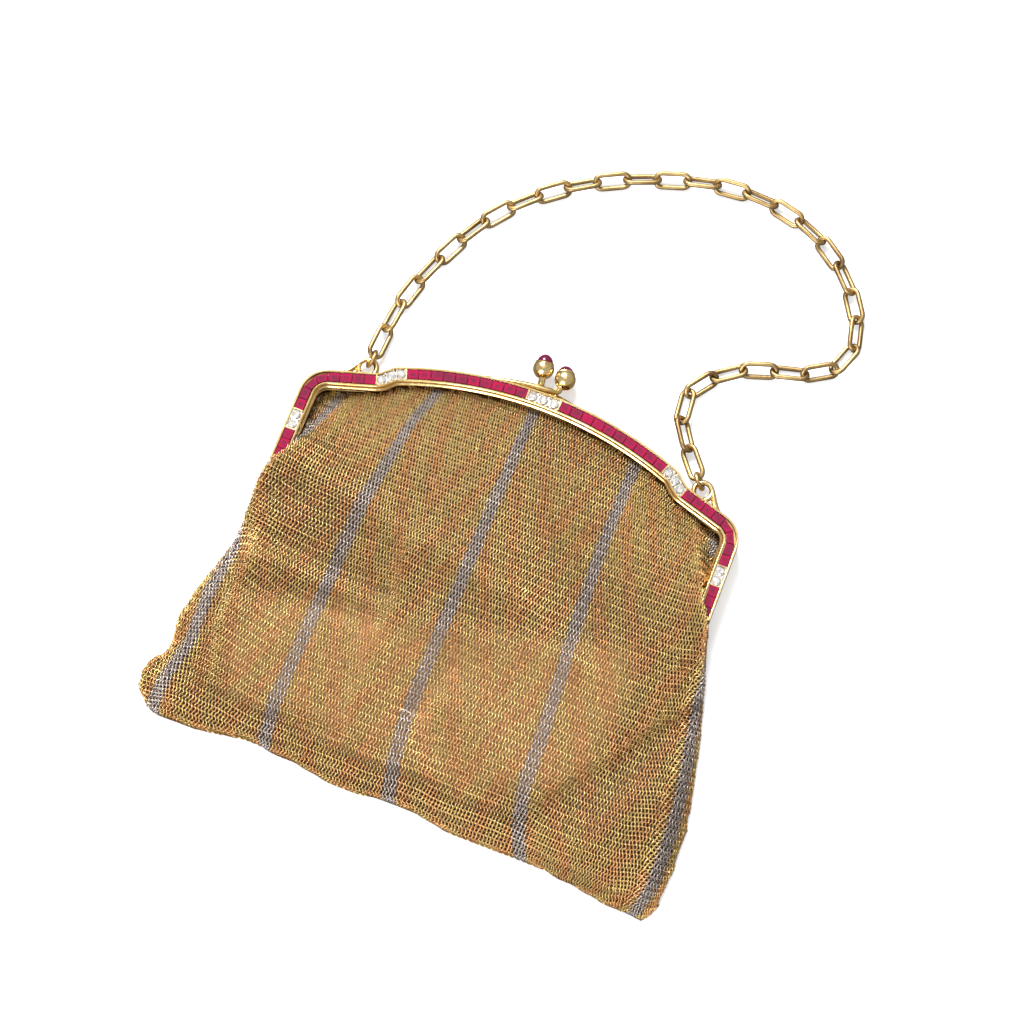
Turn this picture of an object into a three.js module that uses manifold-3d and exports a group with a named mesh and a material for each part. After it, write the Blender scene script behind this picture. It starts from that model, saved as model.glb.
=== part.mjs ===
// A mesh evening purse with a jewelled frame, lying on its back on a table.
// Millimetres, +Z up from the table. X runs along the frame to the right, Y up the bag to its chain,
// and the origin is on the table, under the middle of the line between the two hinges.
import * as THREE from 'three';
import { mergeVertices } from 'three/addons/utils/BufferGeometryUtils.js';
import Module from 'manifold-3d';

const wasm = await Module();
wasm.setup();

// Driving dimensions of the frame
const ARCH_TOP_Y = 44.0;
// Half of the frame's centre line, from the middle of the arch to the end of a leg, a row for each run.
// A run with a turn is an arc (degrees, left is positive), and one with a length is straight.
const FRAME_RUNS = [
  { run: 'arch', turn: -21, radius: 116, steps: 7 },
  { run: 'step out', turn: -25, radius: 5, steps: 2 },
  { run: 'step', length: 2.0, steps: 1 },
  { run: 'step in', turn: 29, radius: 5, steps: 2 },
  { run: 'shoulder', length: 13.5, steps: 1 },
  { run: 'corner', turn: -73, radius: 6.5, steps: 5 },
  { run: 'leg', length: 20.0, steps: 1 },
];
const JAW_DEPTH = 4.0;
const JAW_GAP = 0.4;
const JAW_HALF_WIDTH = 2.05;
const GROOVE_HALF_WIDTH = 1.55;
const GROOVE_DEPTH = 1.5;
const MOULDING_OUT = 0.55;
const MOULDING_DROP = 1.0;
const FOOT_CHAMFER = 0.4;
const FRONT_JAW_Z = JAW_DEPTH + JAW_GAP;
const FRAME_TOP_Z = FRONT_JAW_Z + JAW_DEPTH;

// Stones of the front jaw, by their distance along the centre line from the middle of the arch
const STONE_CLEARANCE = 0.15;
const SEAT_Z = FRAME_TOP_Z - GROOVE_DEPTH + STONE_CLEARANCE;
const STONE_WIDTH = 2 * (GROOVE_HALF_WIDTH - STONE_CLEARANCE);
const STONE_HEIGHT = 1.3;
const RUN_END_GAP = 0.1;
const STONE_SPACE = 0.06;
const STONE_RUNS = [
  { name: 'diamonds_centre', stone: 'diamond', from: -4.9, to: 4.9, count: 3, paired: false },
  { name: 'rubies_arch', stone: 'ruby', from: 4.9, to: 40.3, count: 10, paired: true },
  { name: 'diamonds_step', stone: 'diamond', from: 40.3, to: 49.2, count: 3, paired: true },
  { name: 'rubies_shoulder', stone: 'ruby', from: 49.2, to: 77.1, count: 8, paired: true },
  { name: 'diamonds_leg', stone: 'diamond', from: 77.1, to: 83.2, count: 2, paired: true },
  { name: 'rubies_leg', stone: 'ruby', from: 83.2, to: 89.6, count: 2, paired: true },
];

// Clasp: two balls that snap past each other, each on an arm from its own jaw
const BALL_RADIUS = 3.1;
const BALL_CUT = 1.7;
const CABOCHON_RADIUS = 2.3;
const CABOCHON_HEIGHT = 2.3;
const CABOCHON_CLEARANCE = 0.15;
const ARM_RADIUS = 0.75;
const KNOBS = [
  { side: 'right', jaw: 'front', x: 2.75, y: 53.6, z: 4.2,
    arm: [[-19, 44.6, 6.4], [-9, 46.6, 6.4], [-1.5, 47.7, 6.2], [2.2, 48.4, 5.4], [2.75, 51.2, 4.2]] },
  { side: 'left', jaw: 'back', x: -3.9, y: 54.0, z: 4.2,
    arm: [[18, 44.7, 2.4], [9, 46.8, 2.4], [0, 47.8, 2.4], [-3.3, 48.9, 2.9], [-3.9, 51.6, 4.2]] },
];

// Chain: eyes on the back jaw, a jump ring at each, and oval links along a route on the table
const EYE = { x: 51.6, y: 36.1, z: 2.4, radius: 2.6, wire: 0.65 };
const EYE_TAIL = [[1.6, 2.9], [4.0, -0.6], [7.0, -4.2], [6.3, -5.4], [2.0, -4.4], [-2.0, -3.6], [-2.2, -1.8]];
const EYE_TAIL_THICKNESS = 1.2;
const JUMP_RING = { radius: 2.3, wire: 0.5, z: 2.85, tilt: 70 };
const LINK_WIRE = 0.45;
const LINK_WIDTH = 5.0;
const LINK_COUNT = 31;
const HOOK_GAP = 0.5;
const LINK_Z = 1.68;
const LINK_LAY = [
  { lay: 'outer side up', tilt: 32, lift: -0.12 },
  { lay: 'outer side down', tilt: -42, lift: 0.16 },
];
// The first and last hooks of the chain climb from the table to the jump rings
const END_HOOK_LIFTS = [1.2, 0.4];
const CHAIN_ROUTE = [
  [-50.0, 58.5], [-44.2, 76.2], [-35.2, 93.0], [-22.7, 106.0], [-7.8, 115.8], [8.5, 122.6], [26.4, 127.0],
  [44.4, 126.0], [61.1, 118.8], [73.4, 105.7], [77.6, 94.5], [75.6, 86.0], [69.0, 81.0], [50.0, 75.2],
  [40.2, 67.0], [36.8, 59.5], [40.6, 50.8],
];

// Hinge barrels, hidden in the mesh under the ends of the legs
const HINGE = { x: 62.5, radius: 1.5, halfLength: 1.7, gap: 0.3 };

// Mesh pouch: its wall, the places of its edges and the heights of its front
const WALL = 1.2;
const MOUTH_GAP = 0.45;
const MOUTH_Z = 7.0;
const BODY_Z = 8.4;
const BODY_FROM = 0.25;
const EDGE_ROUNDING = 9;
const LEG_COVER = 20;
const COLUMNS = 34;
const ROWS = 20;
// Sides of the pouch from the frame's corner to the hem, a row for each level. The first rows run down
// inside a leg, the next pass over its end on the front, and the rest are the free side.
const HINGE_ROW = 5;
const SIDES = [
  { level: 'corner', left: -61.3, right: 61.3, y: 22.0, z: 7.0 },
  { level: 'leg', left: -61.3, right: 61.3, y: 17.5, z: 7.2 },
  { level: 'leg', left: -61.3, right: 61.3, y: 13.0, z: 8.6 },
  { level: 'leg', left: -61.3, right: 61.3, y: 8.8, z: 10.0 },
  { level: 'over the leg', left: -63.7, right: 63.7, y: 5.0, z: 10.1 },
  { level: 'hinge', left: -66.6, right: 66.6, y: 0.9, z: 10.1 },
  { level: 'free', left: -67.3, right: 67.8, y: -5.0, z: 8.6 },
  { level: 'free', left: -67.4, right: 70.0, y: -11.5, z: 5.2 },
  { level: 'free', left: -67.2, right: 72.2, y: -18.5, z: 3.4 },
  { level: 'free', left: -67.9, right: 74.2, y: -25.5, z: 3.1 },
  { level: 'free', left: -69.6, right: 76.0, y: -32.5, z: 3.0 },
  { level: 'free', left: -71.7, right: 77.7, y: -39.5, z: 3.0 },
  { level: 'free', left: -73.0, right: 79.1, y: -46.5, z: 3.0 },
  { level: 'free', left: -73.1, right: 80.1, y: -53.0, z: 3.0 },
  { level: 'free', left: -72.8, right: 80.7, y: -59.0, z: 3.0 },
  { level: 'free', left: -74.4, right: 81.0, y: -64.5, z: 3.0 },
  { level: 'free', left: -75.8, right: 81.0, y: -69.0, z: 3.0 },
  { level: 'free', left: -76.3, right: 81.0, y: -72.5, z: 3.0 },
  { level: 'free', left: -75.6, right: 80.8, y: -75.5, z: 3.0 },
  { level: 'free', left: -74.0, right: 80.4, y: -78.0, z: 2.9 },
  { level: 'hem', left: -71.5, right: 79.6, y: -80.5, z: 2.8 },
];
// The back of the pouch keeps inside the leg down to the hinge, and passes below the leg's end
const BACK_LEG_LEVELS = [22.0, 17.0, 12.0, 6.0, 1.0, 0.9];
// Lower edge, left to right
const HEM = [[-71.5, -78.6], [-60, -79.4], [-46, -76.8], [-30, -77.6], [-15, -79.5], [4, -78.4], [24, -80.8],
  [48, -80.8], [66, -83.2], [79.6, -84.2]];
const HEM_Z = 2.8;
// Folds of the front, a row for each: a ridge where it rises, a valley where it sinks
const FOLDS = [
  { fold: 'upper left valley', from: [-62, -20], to: [-20, -25], width: 4.5, rise: -1.0 },
  { fold: 'left ridge', from: [-62, -28], to: [-22, -29], width: 3.5, rise: 0.7 },
  { fold: 'lower left valley', from: [-60, -36], to: [-23, -33], width: 4.5, rise: -0.9 },
  { fold: 'hip crest', from: [-60, 0], to: [14, -14], width: 5.0, rise: 0.7 },
  { fold: 'upright crest', from: [-19, -11], to: [-15, -70], width: 4.5, rise: 0.8 },
  { fold: 'middle crest', from: [-8, -31], to: [35, -24], width: 4.5, rise: 0.7 },
  { fold: 'broad valley', from: [4, 19], to: [32, -14], width: 9.0, rise: -0.8 },
  { fold: 'right shoulder ridge', from: [40, 20], to: [56, -6], width: 8.0, rise: 0.6 },
  { fold: 'right side valley', from: [67, -14], to: [66, -32], width: 5.0, rise: -0.9 },
  { fold: 'lower right valley', from: [65, -36], to: [38, -70], width: 5.0, rise: -1.1 },
  { fold: 'lower right ridge', from: [68, -52], to: [58, -72], width: 6.0, rise: 0.7 },
  { fold: 'centre valley', from: [4, -36], to: [-2, -52], width: 4.5, rise: -0.8 },
  { fold: 'lower centre valley', from: [0, -54], to: [15, -70], width: 4.5, rise: -0.8 },
  { fold: 'lower middle swell', from: [16, -50], to: [26, -60], width: 9.0, rise: 0.6 },
  { fold: 'hem crease', from: [-59, -71.5], to: [40, -74.5], width: 3.5, rise: -1.5 },
  { fold: 'left gusset crease', from: [-65.5, -26], to: [-65.5, -66], width: 3.5, rise: -1.4 },
];

const GOLD = new THREE.MeshStandardMaterial({ color: 0xd8b054, metalness: 1, roughness: 0.22 });
const CHAIN_GOLD = new THREE.MeshStandardMaterial({ color: 0xae8c4a, metalness: 1, roughness: 0.35 });
const MESH_GOLD = new THREE.MeshStandardMaterial({ color: 0xa98648, metalness: 0.9, roughness: 0.5 });
const RUBY = new THREE.MeshStandardMaterial({ color: 0xa8104a, metalness: 0, roughness: 0.08 });
const DIAMOND = new THREE.MeshStandardMaterial({ color: 0xe9e9ea, metalness: 0, roughness: 0.05 });

const radians = THREE.MathUtils.degToRad;
const { lerp, smoothstep } = THREE.MathUtils;

// Geometry helpers

// A closed skin through rings of equal point count: open at neither end, or joined end to start
function loft(rings, joined) {
  const count = rings[0].length;
  const spans = joined ? rings.length : rings.length - 1;
  const index = [];
  for (let r = 0; r < spans; r += 1) {
    const here = r * count;
    const next = ((r + 1) % rings.length) * count;
    for (let i = 0; i < count; i += 1) {
      const j = (i + 1) % count;
      index.push(here + i, here + j, next + j, here + i, next + j, next + i);
    }
  }
  if (!joined) {
    const flat = rings[0].map((p) => new THREE.Vector2(p.profileX, p.profileY));
    const last = (rings.length - 1) * count;
    for (const [a, b, c] of THREE.ShapeUtils.triangulateShape(flat, [])) {
      index.push(a, c, b, last + a, last + b, last + c);
    }
  }
  return fromIndex(rings.flat(), index);
}

function fromIndex(points, index) {
  const geometry = new THREE.BufferGeometry().setFromPoints(points);
  geometry.setIndex(index);
  geometry.computeVertexNormals();
  return geometry;
}

function toSolid(geometry) {
  const bare = geometry.clone();
  bare.deleteAttribute('normal');
  bare.deleteAttribute('uv');
  const merged = mergeVertices(bare, 1e-4);
  return new wasm.Manifold(new wasm.Mesh({
    numProp: 3,
    vertProperties: new Float32Array(merged.attributes.position.array),
    triVerts: new Uint32Array(merged.index.array),
  }));
}

function fuse(geometries) {
  const joined = geometries.map(toSolid).reduce((all, solid) => all.add(solid));
  const { vertProperties, triVerts } = joined.getMesh();
  const geometry = new THREE.BufferGeometry();
  geometry.setAttribute('position', new THREE.BufferAttribute(Float32Array.from(vertProperties), 3));
  geometry.setIndex(Array.from(triVerts));
  geometry.computeVertexNormals();
  return geometry;
}

function rod(points, radius) {
  const route = new THREE.CatmullRomCurve3(points.map((p) => new THREE.Vector3(...p)));
  const section = new THREE.Shape().absarc(0, 0, radius, 0, 2 * Math.PI);
  return new THREE.ExtrudeGeometry(section, { curveSegments: 4, steps: 12, extrudePath: route });
}

// Frame centre line

// Walks the runs from the middle of the arch, calling visit with each station
function walkFrame(visit) {
  const place = { x: 0, y: ARCH_TOP_Y, heading: 0, s: 0 };
  visit({ ...place });
  for (const { turn = 0, radius = 0, length = 0, steps } of FRAME_RUNS) {
    const arc = radius * radians(Math.abs(turn));
    for (let i = 0; i < steps; i += 1) {
      const half = radians(turn) / steps / 2;
      const chord = turn ? 2 * radius * Math.sin(Math.abs(half)) : length / steps;
      place.x += chord * Math.cos(place.heading + half);
      place.y += chord * Math.sin(place.heading + half);
      place.heading += 2 * half;
      place.s += (turn ? arc : length) / steps;
      visit({ ...place });
    }
  }
}

const halfLine = [];
walkFrame((station) => halfLine.push(station));

function mirrored({ x, y, heading, s }) {
  return { x: -x, y, heading: -heading, s: -s };
}

const frameLine = [...halfLine.slice(1).reverse().map(mirrored), ...halfLine];

// The centre line at a signed distance from the middle of the arch
function frameAt(distance) {
  const s = Math.abs(distance);
  const next = Math.max(1, halfLine.findIndex((station) => station.s >= s));
  const [a, b] = [halfLine[next - 1], halfLine[next]];
  const t = (s - a.s) / (b.s - a.s);
  const here = { x: lerp(a.x, b.x, t), y: lerp(a.y, b.y, t), heading: lerp(a.heading, b.heading, t), s };
  return distance < 0 ? mirrored(here) : here;
}

// A section of profile points [out from the centre line, z] set across a station
function across({ x, y, heading }, profile) {
  return profile.map(([out, z]) => {
    const point = new THREE.Vector3(x - out * Math.sin(heading), y + out * Math.cos(heading), z);
    return Object.assign(point, { profileX: out, profileY: z });
  });
}

function sweep(stations, profile) {
  return loft(stations.map((station) => across(station, profile)), false);
}

// Jaws and clasp

const mouldingOut = JAW_HALF_WIDTH + MOULDING_OUT;

function frontJawChannel() {
  const grooveZ = FRAME_TOP_Z - GROOVE_DEPTH;
  const ledgeZ = FRAME_TOP_Z - MOULDING_DROP;
  return sweep(frameLine, [
    [JAW_HALF_WIDTH, FRONT_JAW_Z], [JAW_HALF_WIDTH, FRAME_TOP_Z],
    [GROOVE_HALF_WIDTH, FRAME_TOP_Z], [GROOVE_HALF_WIDTH, grooveZ],
    [-GROOVE_HALF_WIDTH, grooveZ], [-GROOVE_HALF_WIDTH, FRAME_TOP_Z],
    [-JAW_HALF_WIDTH, FRAME_TOP_Z], [-JAW_HALF_WIDTH, ledgeZ],
    [-mouldingOut, ledgeZ - FOOT_CHAMFER], [-mouldingOut, FRONT_JAW_Z],
  ]);
}

function backJawBar() {
  return sweep(frameLine, [
    [JAW_HALF_WIDTH - FOOT_CHAMFER, 0], [JAW_HALF_WIDTH, FOOT_CHAMFER], [JAW_HALF_WIDTH, JAW_DEPTH],
    [-mouldingOut, JAW_DEPTH], [-mouldingOut, FOOT_CHAMFER], [-mouldingOut + FOOT_CHAMFER, 0],
  ]);
}

// A ball with its pole along +Y, cut flat on top for its stone
function ball({ x, y, z }) {
  const sides = 12;
  const cutAngle = Math.acos(BALL_CUT / BALL_RADIUS);
  const rows = 7;
  const profile = [];
  for (let i = 0; i <= rows; i += 1) {
    const angle = lerp(Math.PI, cutAngle, i / rows);
    profile.push(new THREE.Vector2(i === 0 ? 0 : BALL_RADIUS * Math.sin(angle), BALL_RADIUS * Math.cos(angle)));
  }
  profile.push(new THREE.Vector2(0, BALL_CUT));
  return new THREE.LatheGeometry(profile, sides).translate(x, y, z);
}

function cabochon({ x, y, z }) {
  const sides = 12;
  const rows = 4;
  const profile = [new THREE.Vector2(0, 0)];
  for (let i = 0; i < rows; i += 1) {
    const angle = (Math.PI / 2) * (i / rows);
    profile.push(new THREE.Vector2(CABOCHON_RADIUS * Math.cos(angle), CABOCHON_HEIGHT * Math.sin(angle)));
  }
  profile.push(new THREE.Vector2(0, CABOCHON_HEIGHT));
  const seat = y + BALL_CUT + CABOCHON_CLEARANCE;
  return new THREE.LatheGeometry(profile, sides).translate(x, seat, z);
}

function knobsOf(jaw) {
  return KNOBS.filter((knob) => knob.jaw === jaw).flatMap((knob) => [ball(knob), rod(knob.arm, ARM_RADIUS)]);
}

// A chain eye: a flat ring whose leaf-shaped tail runs down on to the frame
function eye(side) {
  const ring = new THREE.TorusGeometry(EYE.radius, EYE.wire, 6, 12);
  const leaf = new THREE.Shape(EYE_TAIL.map(([x, y]) => new THREE.Vector2(side * x, y)));
  const tail = new THREE.ExtrudeGeometry(leaf, { depth: EYE_TAIL_THICKNESS, bevelEnabled: false });
  const hole = new THREE.CylinderGeometry(EYE.radius - EYE.wire, EYE.radius - EYE.wire, 4, 12);
  const trimmed = toSolid(tail.translate(0, 0, -EYE_TAIL_THICKNESS / 2))
    .subtract(toSolid(hole.rotateX(Math.PI / 2)));
  const whole = trimmed.add(toSolid(ring)).getMesh();
  const geometry = new THREE.BufferGeometry();
  geometry.setAttribute('position', new THREE.BufferAttribute(Float32Array.from(whole.vertProperties), 3));
  geometry.setIndex(Array.from(whole.triVerts));
  return geometry.translate(side * EYE.x, EYE.y, EYE.z);
}

// Stones

// A stone from one outline at several levels: pavilion, girdle and table
function cutStone(outline, levels) {
  const middle = outline.reduce((sum, p) => sum.add(p), new THREE.Vector3()).divideScalar(outline.length);
  const rings = levels.map(({ scale, z }) => outline.map((corner) => {
    const point = corner.clone().sub(middle);
    const [profileX, profileY] = [point.x, point.y];
    point.multiplyScalar(scale).add(middle).setZ(SEAT_Z + z);
    return Object.assign(point, { profileX, profileY });
  }));
  return loft(rings, false);
}

// Four corners across the groove from a to b, drawn in where the groove bends
function barOutline(a, b) {
  const bow = (Math.hypot(b.x - a.x, b.y - a.y) / 2) * Math.tan(Math.abs(b.heading - a.heading) / 4);
  const half = STONE_WIDTH / 2 - bow;
  const [a1, a2] = across(a, [[-half, 0], [half, 0]]);
  const [b1, b2] = across(b, [[-half, 0], [half, 0]]);
  return [a1, b1, b2, a2];
}

// Eight corners round the middle between a and b
function roundOutline(a, b) {
  const radius = Math.min(Math.hypot(b.x - a.x, b.y - a.y), STONE_WIDTH) / 2;
  const middle = new THREE.Vector3((a.x + b.x) / 2, (a.y + b.y) / 2, 0);
  const corners = [];
  for (let i = 0; i < 8; i += 1) {
    const angle = a.heading + ((i + 0.5) * Math.PI) / 4;
    corners.push(new THREE.Vector3(radius * Math.cos(angle), radius * Math.sin(angle), 0).add(middle));
  }
  return corners;
}

const STONE_CUTS = {
  ruby: {
    settingHeight: 0.35,
    settingIn: 0.2,
    outline: barOutline,
    levels: [{ scale: 0.8, z: 0.2 }, { scale: 1, z: 0.65 }, { scale: 0.62, z: STONE_HEIGHT }],
  },
  diamond: {
    settingHeight: 0.75,
    settingIn: 0.02,
    outline: roundOutline,
    levels: [{ scale: 0.7, z: 0.4 }, { scale: 1, z: 0.95 }, { scale: 0.58, z: STONE_HEIGHT + 0.1 }],
  },
};

// A run of stones, fused to the strip of setting that they stand on
function stoneRun({ stone, from, to, count }, side) {
  const { settingHeight, settingIn, outline, levels } = STONE_CUTS[stone];
  const pitch = (to - from) / count;
  const [start, end] = side > 0 ? [from, to] : [-to, -from];
  const stations = frameLine.filter(({ s }) => s > start + RUN_END_GAP && s < end - RUN_END_GAP);
  stations.unshift(frameAt(start + RUN_END_GAP));
  stations.push(frameAt(end - RUN_END_GAP));
  const half = STONE_WIDTH / 2 - settingIn;
  const strip = sweep(stations, [
    [half, SEAT_Z], [half, SEAT_Z + settingHeight], [-half, SEAT_Z + settingHeight], [-half, SEAT_Z],
  ]);
  const stones = [];
  for (let i = 0; i < count; i += 1) {
    const a = frameAt(start + i * pitch + STONE_SPACE);
    const b = frameAt(start + (i + 1) * pitch - STONE_SPACE);
    stones.push(cutStone(outline(a, b), levels));
  }
  return fuse([strip, ...stones]);
}

// Chain

// A closed oval of round wire, long along X and lying in the XY plane
function ovalLink(straight, radius, wire) {
  const endPoints = 5;
  const sides = 5;
  const rings = [];
  for (const end of [1, -1]) {
    for (let i = 0; i < endPoints; i += 1) {
      const angle = lerp(-Math.PI / 2, Math.PI / 2, i / (endPoints - 1)) + (end < 0 ? Math.PI : 0);
      const out = new THREE.Vector3(Math.cos(angle), Math.sin(angle), 0);
      const centre = new THREE.Vector3((end * straight) / 2, 0, 0).addScaledVector(out, radius);
      const ring = [];
      for (let k = 0; k < sides; k += 1) {
        const turn = (2 * Math.PI * k) / sides;
        const point = centre.clone().addScaledVector(out, wire * Math.cos(turn));
        point.z = wire * Math.sin(turn);
        ring.push(point);
      }
      rings.push(ring);
    }
  }
  return loft(rings.map((ring) => ring.reverse()), true);
}

// Lays a link between two points of the route, turned about its own length by its tilt
function layLink(mesh, from, to, tilt, lift) {
  const run = to.clone().sub(from);
  const slope = Math.asin(run.z / run.length());
  mesh.rotation.set(radians(tilt), -slope, Math.atan2(run.y, run.x), 'ZYX');
  mesh.position.copy(from).lerp(to, 0.5);
  mesh.position.z += lift;
  return mesh;
}

// Where a jump ring meets the chain: from its eye towards the next point of the route
function jumpRing(side, towards) {
  const eyeCentre = new THREE.Vector3(side * EYE.x, EYE.y, JUMP_RING.z);
  const along = new THREE.Vector3(towards[0], towards[1], JUMP_RING.z).sub(eyeCentre).normalize();
  const near = EYE.radius - EYE.wire - JUMP_RING.wire - HOOK_GAP;
  const start = eyeCentre.clone().addScaledVector(along, near);
  const end = start.clone().addScaledVector(along, 2 * JUMP_RING.radius);
  const hook = end.clone().addScaledVector(along, -(JUMP_RING.wire + LINK_WIRE + HOOK_GAP) / 2);
  return { start, end, hook };
}

// Mesh pouch

const mouthOffset = mouldingOut + MOUTH_GAP;
const mouthLine = halfLine.map((station) => across(station, [[-mouthOffset, 0]])[0]);

// Height of the mouth's edge up the bag at a place across it
function mouthY(x) {
  const place = Math.abs(x);
  const next = mouthLine.findIndex((point) => point.x >= place - 1e-6);
  if (next <= 0) return mouthLine[Math.max(0, next)].y;
  const [a, b] = [mouthLine[next - 1], mouthLine[next]];
  return lerp(a.y, b.y, (place - a.x) / (b.x - a.x));
}

const hemCurve = new THREE.SplineCurve(HEM.map(([x, y]) => new THREE.Vector2(x, y)));

function hemPoint(u) {
  const { x, y } = hemCurve.getPointAt((u + 1) / 2);
  return new THREE.Vector3(x, y, HEM_Z);
}

function mouthPoint(u) {
  const x = u * SIDES[0].right;
  return new THREE.Vector3(x, mouthY(x), MOUTH_Z);
}

// A side's point at a row that may fall between two levels of the table
function sidePoint(v, side) {
  const row = v * ROWS;
  const low = Math.min(Math.floor(row), ROWS - 1);
  const [a, b] = [SIDES[low], SIDES[low + 1]];
  const t = row - low;
  const hemDrop = hemPoint(side === 'left' ? -1 : 1).y - SIDES[ROWS].y;
  const topDrop = mouthY(SIDES[0].right) - SIDES[0].y;
  const y = lerp(a.y, b.y, t) + hemDrop * v * v * v + topDrop * (1 - v) ** 6;
  return new THREE.Vector3(lerp(a[side], b[side], t), y, lerp(a.z, b.z, t));
}

// A patch through the mouth, the hem and the two sides
function patch(u, v) {
  const w = (u + 1) / 2;
  const [left, right] = [sidePoint(v, 'left'), sidePoint(v, 'right')];
  const corners = [mouthPoint(-1), mouthPoint(1), hemPoint(-1), hemPoint(1)];
  const weights = [(1 - w) * (1 - v), w * (1 - v), (1 - w) * v, w * v];
  const point = mouthPoint(u).multiplyScalar(1 - v).addScaledVector(hemPoint(u), v);
  point.addScaledVector(left, 1 - w).addScaledVector(right, w);
  corners.forEach((corner, i) => point.addScaledVector(corner, -weights[i]));
  return point;
}

function foldRise(x, y) {
  let total = 0;
  for (const { from, to, width, rise } of FOLDS) {
    const [dx, dy] = [to[0] - from[0], to[1] - from[1]];
    const along = ((x - from[0]) * dx + (y - from[1]) * dy) / (dx * dx + dy * dy);
    const t = Math.min(1, Math.max(0, along));
    const distance = Math.hypot(x - from[0] - t * dx, y - from[1] - t * dy);
    total += rise * Math.exp(-((distance / width) ** 2));
  }
  return total;
}

// The front of the pouch: the patch, swollen to its body height away from the free edges, with its folds
function frontPoint(u, v) {
  const point = patch(u, v);
  const halfWidth = (sidePoint(v, 'right').x - sidePoint(v, 'left').x) / 2;
  const length = mouthPoint(u).distanceTo(hemPoint(u));
  const toSide = (1 - Math.abs(u)) * halfWidth;
  const toHem = (1 - v) * length;
  const round = (distance) => Math.sqrt(1 - (1 - Math.min(distance / EDGE_ROUNDING, 1)) ** 2);
  const besideLeg = smoothstep(toSide, 0, LEG_COVER);
  const hinge = HINGE_ROW / ROWS;
  const free = smoothstep(v, hinge + 1 / ROWS, hinge + 3 / ROWS);
  const swell = lerp(besideLeg, round(toSide), free) * round(toHem);
  const body = lerp(MOUTH_Z, BODY_Z, smoothstep(v, 0, BODY_FROM));
  const fade = smoothstep(v, 0, BODY_FROM) * swell;
  point.z = lerp(point.z, body, swell) + fade * foldRise(point.x, point.y);
  return point;
}

// Plan of the pouch's back edge beside a row: inside the leg, then as the front
function backSide(row, side, inset) {
  const front = sidePoint(row / ROWS, side);
  const out = side === 'left' ? -1 : 1;
  if (row >= HINGE_ROW) return new THREE.Vector2(front.x - out * inset, front.y);
  const x = row === 0 ? front.x : out * (SIDES[0].right - inset);
  return new THREE.Vector2(x, row === 0 ? front.y : BACK_LEG_LEVELS[row]);
}

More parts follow.
